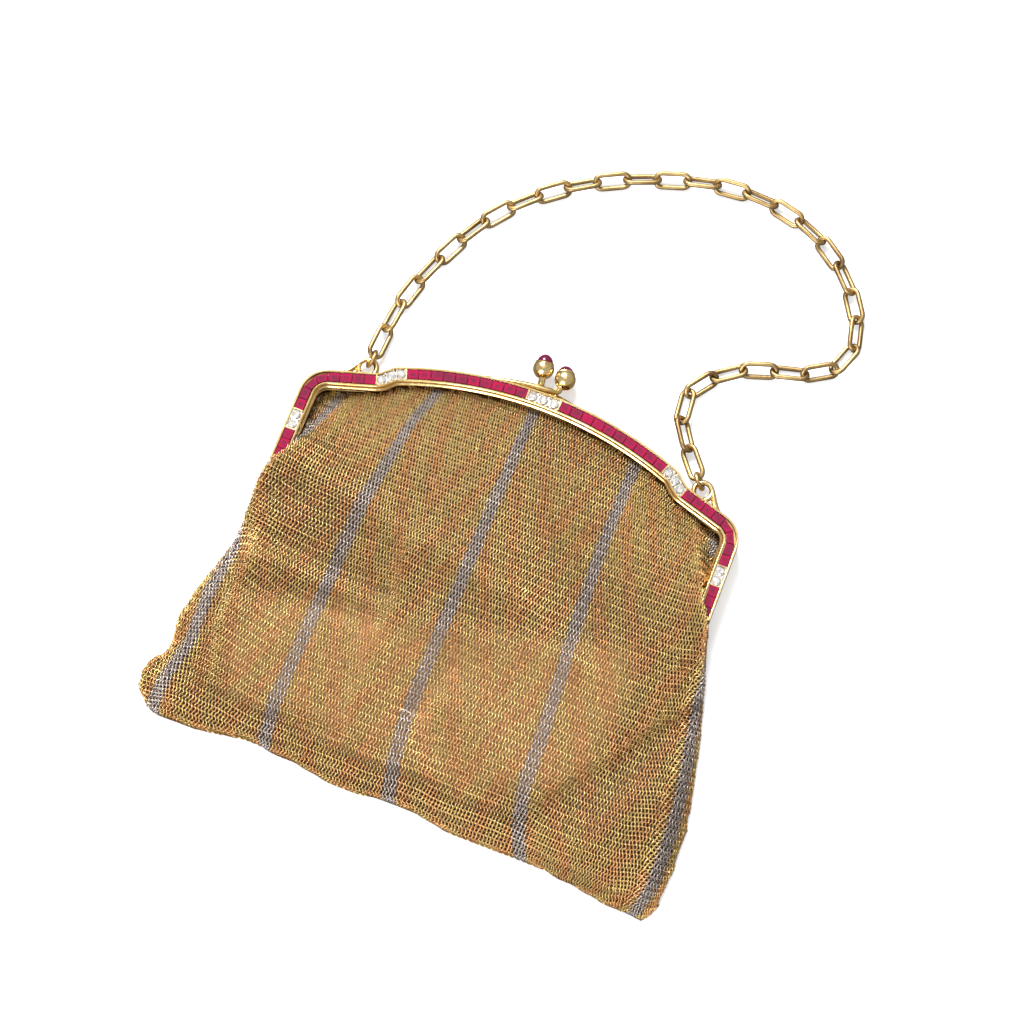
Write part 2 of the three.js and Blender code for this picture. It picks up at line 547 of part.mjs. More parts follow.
// The pouch: front and back walls with a hollow between, closed round the sides and the hem
function meshBag() {
  const halfWidth = (SIDES[ROWS].right - SIDES[ROWS].left) / 2;
  const shrinkU = 1 - WALL / halfWidth;
  const shrinkV = 1 - WALL / (SIDES[0].y - SIDES[ROWS].y);
  const points = [];
  const index = [];
  const add = (point) => points.push(point) - 1;
  const grid = (inner) => {
    const ids = [];
    for (let r = 0; r <= ROWS; r += 1) {
      const line = [];
      for (let c = 0; c <= COLUMNS; c += 1) {
        const u = (2 * c) / COLUMNS - 1;
        const v = r / ROWS;
        const point = inner ? frontPoint(u * shrinkU, v * shrinkV) : frontPoint(u, v);
        if (inner) point.z -= WALL;
        if (inner && r < ROWS && (c === 0 || c === COLUMNS)) point.y = frontPoint(u, v).y;
        line.push(add(point));
      }
      ids.push(line);
    }
    return ids;
  };
  const quad = (a, b, c, d) => index.push(a, b, c, a, c, d);
  const outerFront = grid(false);
  const innerFront = grid(true);
  for (let r = 0; r < ROWS; r += 1) {
    for (let c = 0; c < COLUMNS; c += 1) {
      const o = outerFront;
      const i = innerFront;
      quad(o[r][c], o[r + 1][c], o[r + 1][c + 1], o[r][c + 1]);
      quad(i[r][c], i[r][c + 1], i[r + 1][c + 1], i[r + 1][c]);
    }
  }
  // The rim of a grid, anticlockwise from the left hinge: down the side, along the hem, up and round the mouth
  const rimOf = (ids) => {
    const rim = [];
    for (let r = HINGE_ROW; r < ROWS; r += 1) rim.push(ids[r][0]);
    for (let c = 0; c < COLUMNS; c += 1) rim.push(ids[ROWS][c]);
    for (let r = ROWS; r > 0; r -= 1) rim.push(ids[r][COLUMNS]);
    for (let c = COLUMNS; c > 0; c -= 1) rim.push(ids[0][c]);
    for (let r = 0; r < HINGE_ROW; r += 1) rim.push(ids[r][0]);
    return rim;
  };
  const backRim = (frontIds, z, inset) => {
    const ids = frontIds.map((line) => line.slice());
    for (let r = 0; r <= ROWS; r += 1) {
      for (let c = 0; c <= COLUMNS; c += 1) {
        const onRim = r === 0 || r === ROWS || c === 0 || c === COLUMNS;
        if (!onRim) continue;
        const front = points[frontIds[r][c]];
        const side = c === 0 ? 'left' : 'right';
        const atLeg = r > 0 && r < HINGE_ROW && (c === 0 || c === COLUMNS);
        const plan = atLeg ? backSide(r, side, inset) : front;
        ids[r][c] = add(new THREE.Vector3(plan.x, plan.y, z));
      }
    }
    return ids;
  };
  const outerRim = rimOf(outerFront);
  const innerRim = rimOf(innerFront);
  const outerBack = rimOf(backRim(outerFront, 0, 0));
  const innerBack = rimOf(backRim(innerFront, WALL, WALL));
  const flat = (rim) => {
    const contour = rim.map((id) => new THREE.Vector2(points[id].x, points[id].y));
    return THREE.ShapeUtils.triangulateShape(contour, []).map((face) => face.map((i) => rim[i]));
  };
  for (const [a, b, c] of flat(outerBack)) index.push(a, c, b);
  for (const [a, b, c] of flat(innerBack)) index.push(a, b, c);
  // Side and hem walls run from the left hinge to the right one, and the mouth's lips are the rest of the rim
  const closedSpan = ROWS - HINGE_ROW + COLUMNS + ROWS - HINGE_ROW;
  for (let i = 0; i < outerRim.length; i += 1) {
    const j = (i + 1) % outerRim.length;
    if (i < closedSpan) {
      quad(outerRim[i], outerBack[i], outerBack[j], outerRim[j]);
      quad(innerRim[i], innerRim[j], innerBack[j], innerBack[i]);
    } else {
      quad(outerRim[i], innerRim[i], innerRim[j], outerRim[j]);
      quad(outerBack[i], outerBack[j], innerBack[j], innerBack[i]);
    }
  }
  for (const [i, turned] of [[0, false], [closedSpan, true]]) {
    const end = [outerRim[i], innerRim[i], innerBack[i], outerBack[i]];
    quad(...(turned ? end.reverse() : end));
  }
  return fromIndex(points, index);
}

// Assembly

const purse = new THREE.Group();

function place(name, geometry, material) {
  const mesh = new THREE.Mesh(geometry, material);
  mesh.name = name;
  purse.add(mesh);
  return mesh;
}

place('front_jaw', fuse([frontJawChannel(), ...knobsOf('front')]), GOLD);
place('back_jaw', fuse([backJawBar(), ...knobsOf('back'), eye(-1), eye(1)]), GOLD);
place('mesh_bag', meshBag(), MESH_GOLD);

for (const knob of KNOBS) place(`cabochon_${knob.side}`, cabochon(knob), RUBY);

const legEndY = halfLine[halfLine.length - 1].y;
for (const [name, side] of [['hinge_left', -1], ['hinge_right', 1]]) {
  const barrel = new THREE.CylinderGeometry(HINGE.radius, HINGE.radius, 2 * HINGE.halfLength, 10);
  const mesh = place(name, barrel.rotateZ(Math.PI / 2), GOLD);
  mesh.position.set(side * HINGE.x, legEndY - HINGE.gap - HINGE.radius, JAW_DEPTH + JAW_GAP / 2);
}

for (const run of STONE_RUNS) {
  const material = run.stone === 'ruby' ? RUBY : DIAMOND;
  if (run.paired) {
    place(`${run.name}_left`, stoneRun(run, -1), material);
    place(`${run.name}_right`, stoneRun(run, 1), material);
  } else {
    place(run.name, stoneRun(run, 1), material);
  }
}

const leftRing = jumpRing(-1, CHAIN_ROUTE[0]);
const rightRing = jumpRing(1, CHAIN_ROUTE[CHAIN_ROUTE.length - 1]);
const ringShape = ovalLink(0.02, JUMP_RING.radius, JUMP_RING.wire);
for (const [name, { start, end }] of [['jump_ring_left', leftRing], ['jump_ring_right', rightRing]]) {
  layLink(place(name, ringShape, CHAIN_GOLD), start, end, Math.sign(start.x) * JUMP_RING.tilt, 0);
}

const route = new THREE.CatmullRomCurve3(
  [leftRing.hook, ...CHAIN_ROUTE.map(([x, y]) => new THREE.Vector3(x, y, 0)), rightRing.hook]
    .map(({ x, y }) => new THREE.Vector3(x, y, LINK_Z)),
);
const hooks = route.getSpacedPoints(LINK_COUNT);
END_HOOK_LIFTS.forEach((lift, i) => {
  hooks[i].z += lift;
  hooks[LINK_COUNT - i].z += lift;
});
const linkPitch = route.getLength() / LINK_COUNT;
const linkRadius = LINK_WIDTH / 2 - LINK_WIRE;
const linkStraight = linkPitch + 2 * LINK_WIRE + HOOK_GAP - 2 * linkRadius;
const linkShape = ovalLink(linkStraight, linkRadius, LINK_WIRE);
for (let i = 0; i < LINK_COUNT; i += 1) {
  const { tilt, lift } = LINK_LAY[i % LINK_LAY.length];
  const name = `link_${String(i + 1).padStart(2, '0')}`;
  layLink(place(name, linkShape, CHAIN_GOLD), hooks[i], hooks[i + 1], tilt, lift);
}

export default purse;
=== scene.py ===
"""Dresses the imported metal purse: jewelled frame, clasp, chain and a pouch of real gold rings."""
import math

import bmesh
import bpy
import numpy as np
from bpy.props import FloatProperty, FloatVectorProperty, IntProperty, PointerProperty
from mathutils import Matrix, Vector
from mathutils.bvhtree import BVHTree


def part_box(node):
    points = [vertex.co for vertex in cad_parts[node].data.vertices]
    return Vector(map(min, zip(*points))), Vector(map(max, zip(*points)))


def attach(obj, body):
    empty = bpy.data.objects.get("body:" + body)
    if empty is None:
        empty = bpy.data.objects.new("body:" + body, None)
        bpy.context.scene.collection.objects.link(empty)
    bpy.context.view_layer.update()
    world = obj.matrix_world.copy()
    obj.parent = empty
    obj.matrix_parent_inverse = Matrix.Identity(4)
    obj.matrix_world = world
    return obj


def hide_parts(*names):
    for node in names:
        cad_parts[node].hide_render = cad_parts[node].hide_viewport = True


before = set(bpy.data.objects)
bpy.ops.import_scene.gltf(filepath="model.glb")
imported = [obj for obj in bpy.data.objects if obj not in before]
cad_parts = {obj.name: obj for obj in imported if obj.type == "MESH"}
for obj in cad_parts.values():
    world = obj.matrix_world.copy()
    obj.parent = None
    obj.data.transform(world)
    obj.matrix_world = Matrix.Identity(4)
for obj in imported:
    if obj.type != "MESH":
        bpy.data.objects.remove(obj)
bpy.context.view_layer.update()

bl_info = {
    "name": "Metal purse",
    "version": (1, 0, 0),
    "blender": (4, 5, 0),
    "location": "View3D > Sidebar > Purse",
    "description": "Builds the looks of a ring mesh purse around its packed solids",
    "category": "Object",
}

MM = 0.001
STONE_RUN_NODES = {
    "ruby": ["rubies_arch", "rubies_shoulder", "rubies_leg"],
    "diamond": ["diamonds_step", "diamonds_leg"],
}
LINK_NODES = sorted(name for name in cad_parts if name.startswith("link_"))

# Frame centre line from the middle of the arch to the end of a leg: turn in degrees and radius in mm,
# or a straight length in mm
FRAME_RUNS = [
    {"run": "arch", "turn": -21.0, "radius": 116.0},
    {"run": "step out", "turn": -25.0, "radius": 5.0},
    {"run": "step", "length": 2.0},
    {"run": "step in", "turn": 29.0, "radius": 5.0},
    {"run": "shoulder", "length": 13.5},
    {"run": "corner", "turn": -73.0, "radius": 6.5},
    {"run": "leg", "length": 22.2},
]
ARCH_TOP = 44.0
STATION_STEP = 0.8

# Sections in mm: out from the centre line, and height above the table
FRONT_SECTION = [
    (2.2, 4.4), (2.2, 7.6), (2.17, 7.92), (2.09, 8.12), (1.97, 8.2), (1.62, 8.2), (1.52, 8.14),
    (1.46, 8.0), (1.46, 6.9), (-1.55, 6.9), (-1.55, 8.1), (-1.62, 8.3), (-1.78, 8.4), (-1.98, 8.4),
    (-2.16, 8.3), (-2.28, 8.12), (-2.38, 7.85), (-2.52, 7.6), (-2.72, 7.4), (-2.92, 7.24),
    (-3.06, 7.08), (-3.1, 6.94), (-3.04, 6.82), (-2.9, 6.76), (-2.6, 6.75), (-2.6, 4.75), (-2.42, 4.4),
]
BACK_SECTION = [
    (1.65, 0.0), (1.93, 0.12), (2.05, 0.4), (2.05, 3.55), (1.95, 3.85), (1.7, 4.0),
    (-2.25, 4.0), (-2.5, 3.88), (-2.6, 3.6), (-2.6, 0.4), (-2.48, 0.12), (-2.2, 0.0),
]

# Stones by their distance along the centre line, in mm
STONE_RUNS = [
    {"stone": "diamond", "start": -4.9, "end": 4.9, "count": 3, "paired": False},
    {"stone": "ruby", "start": 4.9, "end": 40.3, "count": 10, "paired": True},
    {"stone": "diamond", "start": 40.3, "end": 49.2, "count": 3, "paired": True},
    {"stone": "ruby", "start": 49.2, "end": 77.1, "count": 8, "paired": True},
    {"stone": "diamond", "start": 77.1, "end": 83.2, "count": 2, "paired": True},
    {"stone": "ruby", "start": 83.2, "end": 92.8, "count": 3, "paired": True},
]
GROOVE_FLOOR = 6.9
STONE_HALF = 1.38
# Step cut of a ruby: share of the outline, height above the groove's floor, and tone from deep to bright
# The tones are painted light and shade on the facets: a dark table and brighter bevels
RUBY_LEVELS = [
    {"share": 0.7, "height": 0.1, "tone": 0.5},
    {"share": 0.99, "height": 0.8, "tone": 0.3},
    {"share": 0.95, "height": 1.25, "tone": 0.45},
    {"share": 0.6, "height": 1.27, "tone": 0.75},
    {"share": 0.3, "height": 1.275, "tone": 0.1},
]
# Levels of a brilliant: share of the outline and height above the groove's floor
BRILLIANT_LEVELS = [
    {"ring": "pavilion", "share": 0.45, "height": 0.5, "corners": 8, "turned": 0.0},
    {"ring": "girdle", "share": 1.0, "height": 0.98, "corners": 16, "turned": 0.0},
    {"ring": "bezel", "share": 0.8, "height": 1.28, "corners": 8, "turned": 0.5},
    {"ring": "table", "share": 0.54, "height": 1.45, "corners": 8, "turned": 0.0},
]
BRILLIANT_SPACE = 0.06
RUBY_IOR = 1.77
DIAMOND_IOR = 2.42
# Settings of the diamonds and bars between the runs, in mm, with heights above the groove's floor
SEAT = {"width": 2.9, "thickness": 0.75, "height": 0.4}
PRONG = {"out": 1.2, "inset": 0.22, "height": 1.05, "radius": 0.27, "stem_radius": 0.2, "stem": 0.5}
DIVIDER = {"width": 2.96, "length": 0.24, "thickness": 1.34, "height": 0.68}

# Clasp: a ball on an arm from each jaw, points in mm, with the arm's radius at each, and turns in degrees
BALL_PROFILE = [(0.0, -1.2), (1.2, -1.3), (1.42, -2.62), (1.55, -2.68)]
COLLAR_PROFILE = [
    (2.6, 1.68), (2.72, 1.8), (2.7, 1.98), (2.5, 2.08), (2.34, 1.98), (2.3, 1.75), (0.0, 1.75),
]
BALL_RADIUS = 3.1
DOME_PROFILE = [
    (0.0, 1.86), (2.3, 1.86), (2.28, 2.3), (2.1, 2.85), (1.7, 3.4), (1.14, 3.9), (0.54, 4.2), (0.0, 4.28),
]
CLASP = [
    {"side": "right", "ball": (3.2, 53.1, 4.2), "jaw": "front_jaw", "tilt": -9.0, "turn": 16.0,
     "arm": [(-20.0, 44.2, 7.2, 0.35), (-14.0, 45.5, 7.0, 0.65), (-6.0, 47.0, 6.7, 0.85),
             (0.2, 47.7, 6.3, 0.88), (2.7, 48.6, 5.4, 0.84), (2.9, 51.3, 4.6, 0.74)]},
    {"side": "left", "ball": (-3.8, 54.0, 4.2), "jaw": "back_jaw", "tilt": 12.0, "turn": 8.0,
     "arm": [(20.0, 44.1, 2.9, 0.35), (13.0, 45.8, 2.8, 0.6), (5.0, 47.3, 2.7, 0.8),
             (0.4, 48.0, 2.7, 0.9), (-2.5, 48.9, 2.9, 0.95), (-3.2, 52.0, 4.2, 1.0)]},
]

# Chain eyes: the ring and the two tapered arms of its leaf tail, from the ring's centre in mm
EYE = {"x": 51.6, "y": 36.4, "z": 2.4, "radius": 2.65, "wire": 0.78}
EYE_ARMS = [
    [(2.0, 1.9, 0.0, 0.74), (3.2, -0.2, 0.1, 0.82), (4.7, -2.6, 0.2, 0.78), (6.9, -4.7, 0.2, 0.46)],
    [(-1.6, -2.3, 0.0, 0.7), (1.2, -3.4, 0.1, 0.74), (4.0, -4.3, 0.2, 0.7), (7.1, -5.0, 0.2, 0.4)],
]
# Wire of the links and jump rings, as half its thickness in mm: the solids', and the dressed jump ring's
SOLID_LINK_WIRE = 0.45
SOLID_RING_WIRE = 0.5
JUMP_RING_WIRE = 0.64

# Stripes of white gold rings: places across the bag in mm against places up the bag
STRIPES = [
    {"stripe": "far left", "column": 0,
     "up": [27.0, 13.0, 8.0, 3.0, -3.0, -14.0, -20.0, -25.0, -40.0, -55.0, -67.0, -79.0],
     "across": [-55.5, -59.5, -63.5, -68.5, -72.0, -72.0, -69.0, -67.0, -68.0, -67.4, -69.6, -70.6]},
    {"stripe": "left", "column": 32,
     "up": [38.0, 25.0, 0.0, -20.0, -50.0, -65.0, -77.0],
     "across": [-29.3, -33.0, -36.2, -37.0, -37.6, -38.0, -37.0]},
    {"stripe": "middle", "column": 70,
     "up": [41.0, 10.0, -20.0, -52.0, -67.0, -78.0],
     "across": [-1.4, -2.1, -2.2, -2.5, -1.2, 1.0]},
    {"stripe": "right", "column": 108,
     "up": [38.0, 10.0, -10.0, -30.0, -46.0, -60.0, -70.0, -79.0],
     "across": [31.5, 31.2, 32.0, 33.7, 34.7, 35.2, 37.5, 41.5]},
    {"stripe": "far right", "column": 152,
     "up": [27.0, 20.0, 8.0, 1.0, -8.0, -20.0, -33.0, -42.0, -51.0, -60.0, -71.0, -78.0, -84.0],
     "across": [63.5, 64.5, 67.0, 70.5, 72.4, 72.0, 74.2, 76.0, 77.4, 77.8, 77.8, 75.2, 71.2]},
]
EDGE_COLUMNS = 14
# Where the outer stripes show in the gathered corners: from and to, in mm
CORNER_STRIPES = [((-55.0, 28.0), (-59.8, 12.0)), ((58.2, 27.0), (61.4, 18.5))]
# How much further the sides of the pouch reach near its lower corners: places up the bag and mm outwards
CORNER_OUTSETS = {
    "left": ([-58.0, -61.0, -64.0, -66.7, -68.6, -71.3, -73.5, -75.9, -78.0, -81.0],
             [0.0, -0.3, 0.1, 0.9, 0.8, 0.9, 1.0, 2.2, 3.4, 4.0]),
    "right": ([-58.0, -65.0, -68.0, -71.0, -74.0, -76.0, -78.0, -80.0],
              [0.0, -0.1, -0.4, -1.1, -1.0, -0.8, 0.3, 1.0]),
}
# Places where the mesh is drawn into the corner of the frame: a line from and to, in mm
GUSSETS = [((-50.0, 28.5), (-61.5, 6.5)), ((52.0, 28.0), (62.0, 9.0))]
# Finer folds than the solid's, in mm: a ridge rises and a valley sinks
CREASES = [
    {"crease": "upper left valley", "from": (-62, -20), "to": (-20, -25), "width": 3.6, "rise": -1.43},
    {"crease": "left ridge", "from": (-62, -28), "to": (-22, -29), "width": 3.0, "rise": 0.78},
    {"crease": "lower left valley", "from": (-60, -36), "to": (-23, -33), "width": 3.8, "rise": -1.04},
    {"crease": "hip crest", "from": (-60, 0), "to": (14, -14), "width": 4.0, "rise": 0.91},
    {"crease": "upright crest", "from": (-19, -11), "to": (-15, -66), "width": 3.0, "rise": 1.04},
    {"crease": "middle crest", "from": (-8, -31), "to": (35, -24), "width": 4.0, "rise": 0.91},
    {"crease": "broad valley", "from": (4, 19), "to": (32, -14), "width": 8.0, "rise": -0.91},
    {"crease": "right shoulder ridge", "from": (40, 20), "to": (56, -6), "width": 7.0, "rise": 0.65},
    {"crease": "right side valley", "from": (67, -14), "to": (66, -32), "width": 4.0, "rise": -0.91},
    {"crease": "lower right ridge", "from": (68, -52), "to": (58, -72), "width": 5.0, "rise": 0.91},
    {"crease": "centre valley", "from": (4, -36), "to": (-2, -52), "width": 3.4, "rise": -1.17},
    {"crease": "lower centre valley", "from": (0, -54), "to": (15, -68), "width": 3.4, "rise": -1.17},
    {"crease": "over left leg", "from": (-61, 5), "to": (-62, -1), "width": 4.0, "rise": 0.52},
    {"crease": "over right leg", "from": (61, 5), "to": (62, -1), "width": 4.0, "rise": 0.52},
    {"crease": "lower middle swell", "from": (16, -50), "to": (26, -60), "width": 8.0, "rise": 0.78},
]
# Lower edge of the raised front panel: the cloth past it lies lower, in the hem and the gussets
PANEL_EDGE = [
    (-75.0, -12.0), (-66.0, -18.0), (-62.5, -26.0), (-61.8, -42.8), (-62.4, -51.3), (-59.5, -60.5),
    (-55.0, -65.2), (-45.5, -65.6), (-37.1, -67.4), (-28.7, -67.9), (-19.1, -68.8), (-9.5, -69.8),
    (-1.3, -69.4), (8.2, -68.8), (19.3, -70.6), (28.0, -70.4), (35.4, -69.0), (39.3, -64.9),
    (42.5, -60.7), (46.2, -54.4), (52.6, -47.6), (58.3, -38.7), (64.2, -30.2), (70.6, -22.8), (80.0, -14.0),
]
PANEL_STEP = 1.7
# Outline of the lower front where the ground behind the rings is paler, and how soft its edge is, in mm
PALE_GROUND_OUTLINE = [
    (-59.2, -43.1), (-29.5, -31.1), (-16.9, -32.4), (-2.8, -30.1), (29.8, -21.5), (49.1, -17.1),
    (52.2, -29.6), (51.3, -42.1), (50.8, -51.9), (41.1, -62.8), (21.3, -68.7), (7.9, -68.5),
    (-13.9, -69.7), (-30.5, -65.8), (-41.8, -65.9), (-51.7, -66.7), (-57.7, -56.8),
]
PALE_GROUND_EDGE = 7.0
# How the mesh meets the frame, in mm: the frame holds it above this place up the bag. There the rings end
# this far in from the frame's centre line, and the ground behind them, painted shade, ends under the rail
HELD_ABOVE = 8.2
RINGS_END = 2.95
GROUND_ENDS = 2.3
RAIL_EDGE = 3.0
ALLOYS = ["green", "rose", "white"]

# Camera and lights, in metres
CAMERA = {"place": (0.0821, -0.1941, 0.769), "right": (0.933, 0.360, 0.0), "up": (-0.346, 0.897, 0.276),
          "back": (0.0992, -0.2572, 0.9613)}
LIGHTS = [
    {"light": "key", "place": (-0.48, 0.66, 0.9), "size": 0.5},
    {"light": "top", "place": (-0.1, 0.28, 1.05), "size": 0.7},
    {"light": "fill", "place": (-0.15, -0.9, 0.55), "size": 0.6},
]


def hex_colour(text):
    """Linear colour of an sRGB hex value."""
    channels = [int(text[i:i + 2], 16) / 255 for i in (1, 3, 5)]
    return tuple(c / 12.92 if c <= 0.04045 else ((c + 0.055) / 1.055) ** 2.4 for c in channels) + (1.0,)


def shaded(colour, share):
    """A colour made darker."""
    return tuple(c * share for c in colour[:3]) + (1.0,)


def colour_property(name, description, text):
    return FloatVectorProperty(name=name, description=description, default=hex_colour(text),
                               subtype="COLOR", size=4, min=0.0, max=1.0)


def length_property(name, description, millimetres):
    return FloatProperty(name=name, description=description, default=millimetres * MM, unit="LENGTH",
                         precision=5)


def power_property(name, description, watts):
    return FloatProperty(name=name, description=description, default=watts, unit="POWER")


class PurseMeshSettings(bpy.types.PropertyGroup):
    """Sizes and colours of the ring mesh."""

    ring_radius: length_property("Ring radius", "To the middle of the wire", 0.79)
    wire_radius: length_property("Wire radius", "Half the thickness of a ring's wire", 0.17)
    row_pitch: length_property("Row pitch", "Distance between rows of rings", 1.31)
    rows: IntProperty(name="Rows", description="Rows of rings from the frame to the underside", default=102)
    outset: length_property("Outset", "Cloth past the silhouette of the solid", 0.9)
    depth: length_property("Ring depth", "Middle of the rings below the outside of the solid", 0.55)
    ground_depth: length_property("Ground depth", "Inside of the mesh below the middle of the rings", 0.62)
    ring_steps: IntProperty(name="Ring steps", description="Steps round a ring", default=6, min=4, max=12)
    green_gold: colour_property("Green gold", "Bright tone of the green gold rings", "#DABB7B")
    rose_gold: colour_property("Rose gold", "Bright tone of the rose gold rings", "#DFAC74")
    white_gold: colour_property("White gold", "Bright tone of the white gold rings", "#C0B4AC")
    # The ground's dark tone is painted shade, where the inside of the mesh lies in shadow between the rings
    ground: colour_property("Ground", "Dark inside of the mesh", "#3C2811")
    # Paler tone of the ground over the lower front
    insert: colour_property("Insert", "Pale slip that shows through the lower front", "#816543")


class PurseMetalSettings(bpy.types.PropertyGroup):
    """Colours of the frame, the clasp and the chain."""

    gold: colour_property("Frame gold", "Polished gold of the frame", "#EBD096")
    gold_dark: colour_property("Frame gold, worn", "Duller gold of handled places", "#D2AC68")
    chain: colour_property("Chain gold", "Gold of the chain", "#B39868")
    chain_dark: colour_property("Chain gold, dulled", "Dulled gold of the chain", "#7D6340")
    white: colour_property("Setting metal", "White metal round the diamonds", "#CDC6BD")
    link_wire: length_property("Link wire radius", "Half the thickness of a link's wire", 0.72)


class PurseStoneSettings(bpy.types.PropertyGroup):
    """Colours of the stones."""

    ruby: colour_property("Ruby", "Bright tone of the rubies", "#8E0436")
    ruby_dark: colour_property("Ruby, deep", "Deep tone of the rubies", "#5A1830")
    dome: colour_property("Ruby dome", "Deep tone of the two domes", "#540C28")
    diamond: colour_property("Diamond", "Tone of the diamonds", "#F4F1EC")
    space: length_property("Stone space", "Gap between two stones of a run", 0.02)


class PurseStageSettings(bpy.types.PropertyGroup):
    """Floor, lights and camera."""

    floor: colour_property("Floor", "Pale floor", "#BFBEBD")
    glow: FloatProperty(name="Floor glow", description="Light that comes up through the floor",
                        default=0.5)
    floor_size: length_property("Floor size", "Side of the floor", 4000.0)
    key_power: power_property("Key light", "Power of the soft key light", 36.0)
    top_power: power_property("Top light", "Power of the light that the flat metal mirrors", 1.0)
    fill_power: power_property("Fill light", "Power of the broad light from the front", 14.0)
    sky: FloatProperty(name="Sky", description="Strength of the even light", default=0.55)
    lens: FloatProperty(name="Lens", description="Focal length", default=98.44, unit="CAMERA")


SETTINGS = {
    "purse_mesh": PurseMeshSettings,
    "purse_metal": PurseMetalSettings,
    "purse_stones": PurseStoneSettings,
    "purse_stage": PurseStageSettings,
}


# Mesh helpers

def finish_piece(bm, name, material, replaced, sharp=40.0):
    """Turns a bmesh in millimetres into a piece that rides on the purse."""
    bmesh.ops.remove_doubles(bm, verts=bm.verts[:], dist=1e-3)
    bmesh.ops.recalc_face_normals(bm, faces=bm.faces[:])
    bmesh.ops.scale(bm, vec=(MM, MM, MM), verts=bm.verts[:])
    mesh = bpy.data.meshes.new(name)
    bm.to_mesh(mesh)
    bm.free()
    for face in mesh.polygons:
        face.use_smooth = sharp > 0
    if sharp > 0:
        mesh.set_sharp_from_angle(angle=math.radians(sharp))
    return place_piece(mesh, name, material, replaced)


def place_piece(mesh, name, material, replaced):
    """Puts a mesh in the scene as a piece that rides on the purse."""
    piece = bpy.data.objects.new(name, mesh)
    bpy.context.scene.collection.objects.link(piece)
    mesh.materials.append(material)
    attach(piece, "root")
    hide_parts(*replaced)
    return piece


def extrude_loop(bm, edges, moves):
    """Extrudes a loop of edges once for each matrix, which carries the new loop on from the last."""
    for move in moves:
        made = bmesh.ops.extrude_edge_only(bm, edges=edges)["geom"]
        verts = [item for item in made if isinstance(item, bmesh.types.BMVert)]
        new = set(verts)
        sides = [item for item in made if isinstance(item, bmesh.types.BMEdge)]
        edges = [edge for edge in sides if new.issuperset(edge.verts)]
        bmesh.ops.transform(bm, matrix=move, verts=verts)
    return edges


def loop_of(bm, points):
    """A closed loop of edges through points."""
    verts = [bm.verts.new(point) for point in points]
    return [bm.edges.new((verts[i - 1], verts[i])) for i in range(len(verts))]


def sweep(bm, places, section):
    """A bar of one section of (out, up) points along a row of place matrices, closed at both ends."""
    first = loop_of(bm, [places[0] @ Vector((out, 0.0, up)) for out, up in section])
    moves = [b @ a.inverted() for a, b in zip(places, places[1:])]
    last = extrude_loop(bm, first, moves)
    bmesh.ops.edgeloop_fill(bm, edges=first)
    bmesh.ops.edgeloop_fill(bm, edges=last)


def curve_points(points, count):
    """Evenly stepped points of a smooth curve through a few, whatever number of values each has."""
    points = np.asarray(points, float)
    padded = np.vstack([2 * points[0] - points[1], points, 2 * points[-1] - points[-2]])
    steps = np.linspace(0, len(points) - 1, count)
    low = np.minimum(steps.astype(int), len(points) - 2)
    t = (steps - low)[:, None]
    a, b, c, d = (padded[low + i] for i in range(4))
    square = 2 * a - 5 * b + 4 * c - d
    cube = 3 * b - a - 3 * c + d
    return 0.5 * (2 * b + (c - a) * t + square * t ** 2 + cube * t ** 3)


def rod(bm, points, count, sides):
    """A tapered round rod through points of x, y, z and radius."""
    path = curve_points(points, count)
    places = []
    last = None
    for i, point in enumerate(path):
        ahead = Vector(path[min(i + 1, count - 1)][:3]) - Vector(path[max(i - 1, 0)][:3])
        turn = ahead.to_track_quat("Z", "Y") if last is None else last.rotation_difference(ahead) @ turn
        places.append(Matrix.LocRotScale(Vector(point[:3]), turn, Vector((point[3],) * 3)))
        last = ahead
    ring = [(math.cos(2 * math.pi * i / sides), math.sin(2 * math.pi * i / sides)) for i in range(sides)]
    first = loop_of(bm, [places[0] @ Vector((x, y, 0.0)) for x, y in ring])
    last = extrude_loop(bm, first, [b @ a.inverted() for a, b in zip(places, places[1:])])
    bmesh.ops.edgeloop_fill(bm, edges=first)
    bmesh.ops.edgeloop_fill(bm, edges=last)


def turned(bm, profile, place, steps):
    """A form turned about its own Y, from a profile of radius and height, and put in its place."""
    verts = [bm.verts.new((radius, height, 0.0)) for radius, height in profile]
    edges = [bm.edges.new(pair) for pair in zip(verts, verts[1:])]
    bmesh.ops.spin(bm, geom=verts + edges, cent=(0, 0, 0), axis=(0, 1, 0), angle=2 * math.pi, steps=steps,
                   use_merge=True)
    bmesh.ops.transform(bm, matrix=place, verts=bm.verts[:])


# Frame line

def walk_frame():
    """Stations of the right half of the centre line as x, y, heading and distance, in mm and radians."""
    x, y, heading, distance = 0.0, ARCH_TOP, 0.0, 0.0
    stations = [(x, y, heading, distance)]
    for run in FRAME_RUNS:
        turn = math.radians(run.get("turn", 0.0))
        length = run.get("length", run.get("radius", 0.0) * abs(turn))
        steps = max(2, round(length / STATION_STEP))
        for _ in range(steps):
            half = turn / steps / 2
            chord = 2 * run["radius"] * math.sin(abs(half)) if turn else length / steps
            x += chord * math.cos(heading + half)
            y += chord * math.sin(heading + half)
            heading += 2 * half
            distance += length / steps
            stations.append((x, y, heading, distance))
    return np.array(stations)


HALF_LINE = walk_frame()


def station_matrix(distance):
    """Place on the centre line at a signed distance: X points out of the frame, Z up from the table."""
    x, y, heading = (np.interp(abs(distance), HALF_LINE[:, 3], HALF_LINE[:, i]) for i in range(3))
    if distance < 0:
        x, heading = -x, -heading
    return Matrix.Translation((x, y, 0.0)) @ Matrix.Rotation(heading + math.pi / 2, 4, "Z")


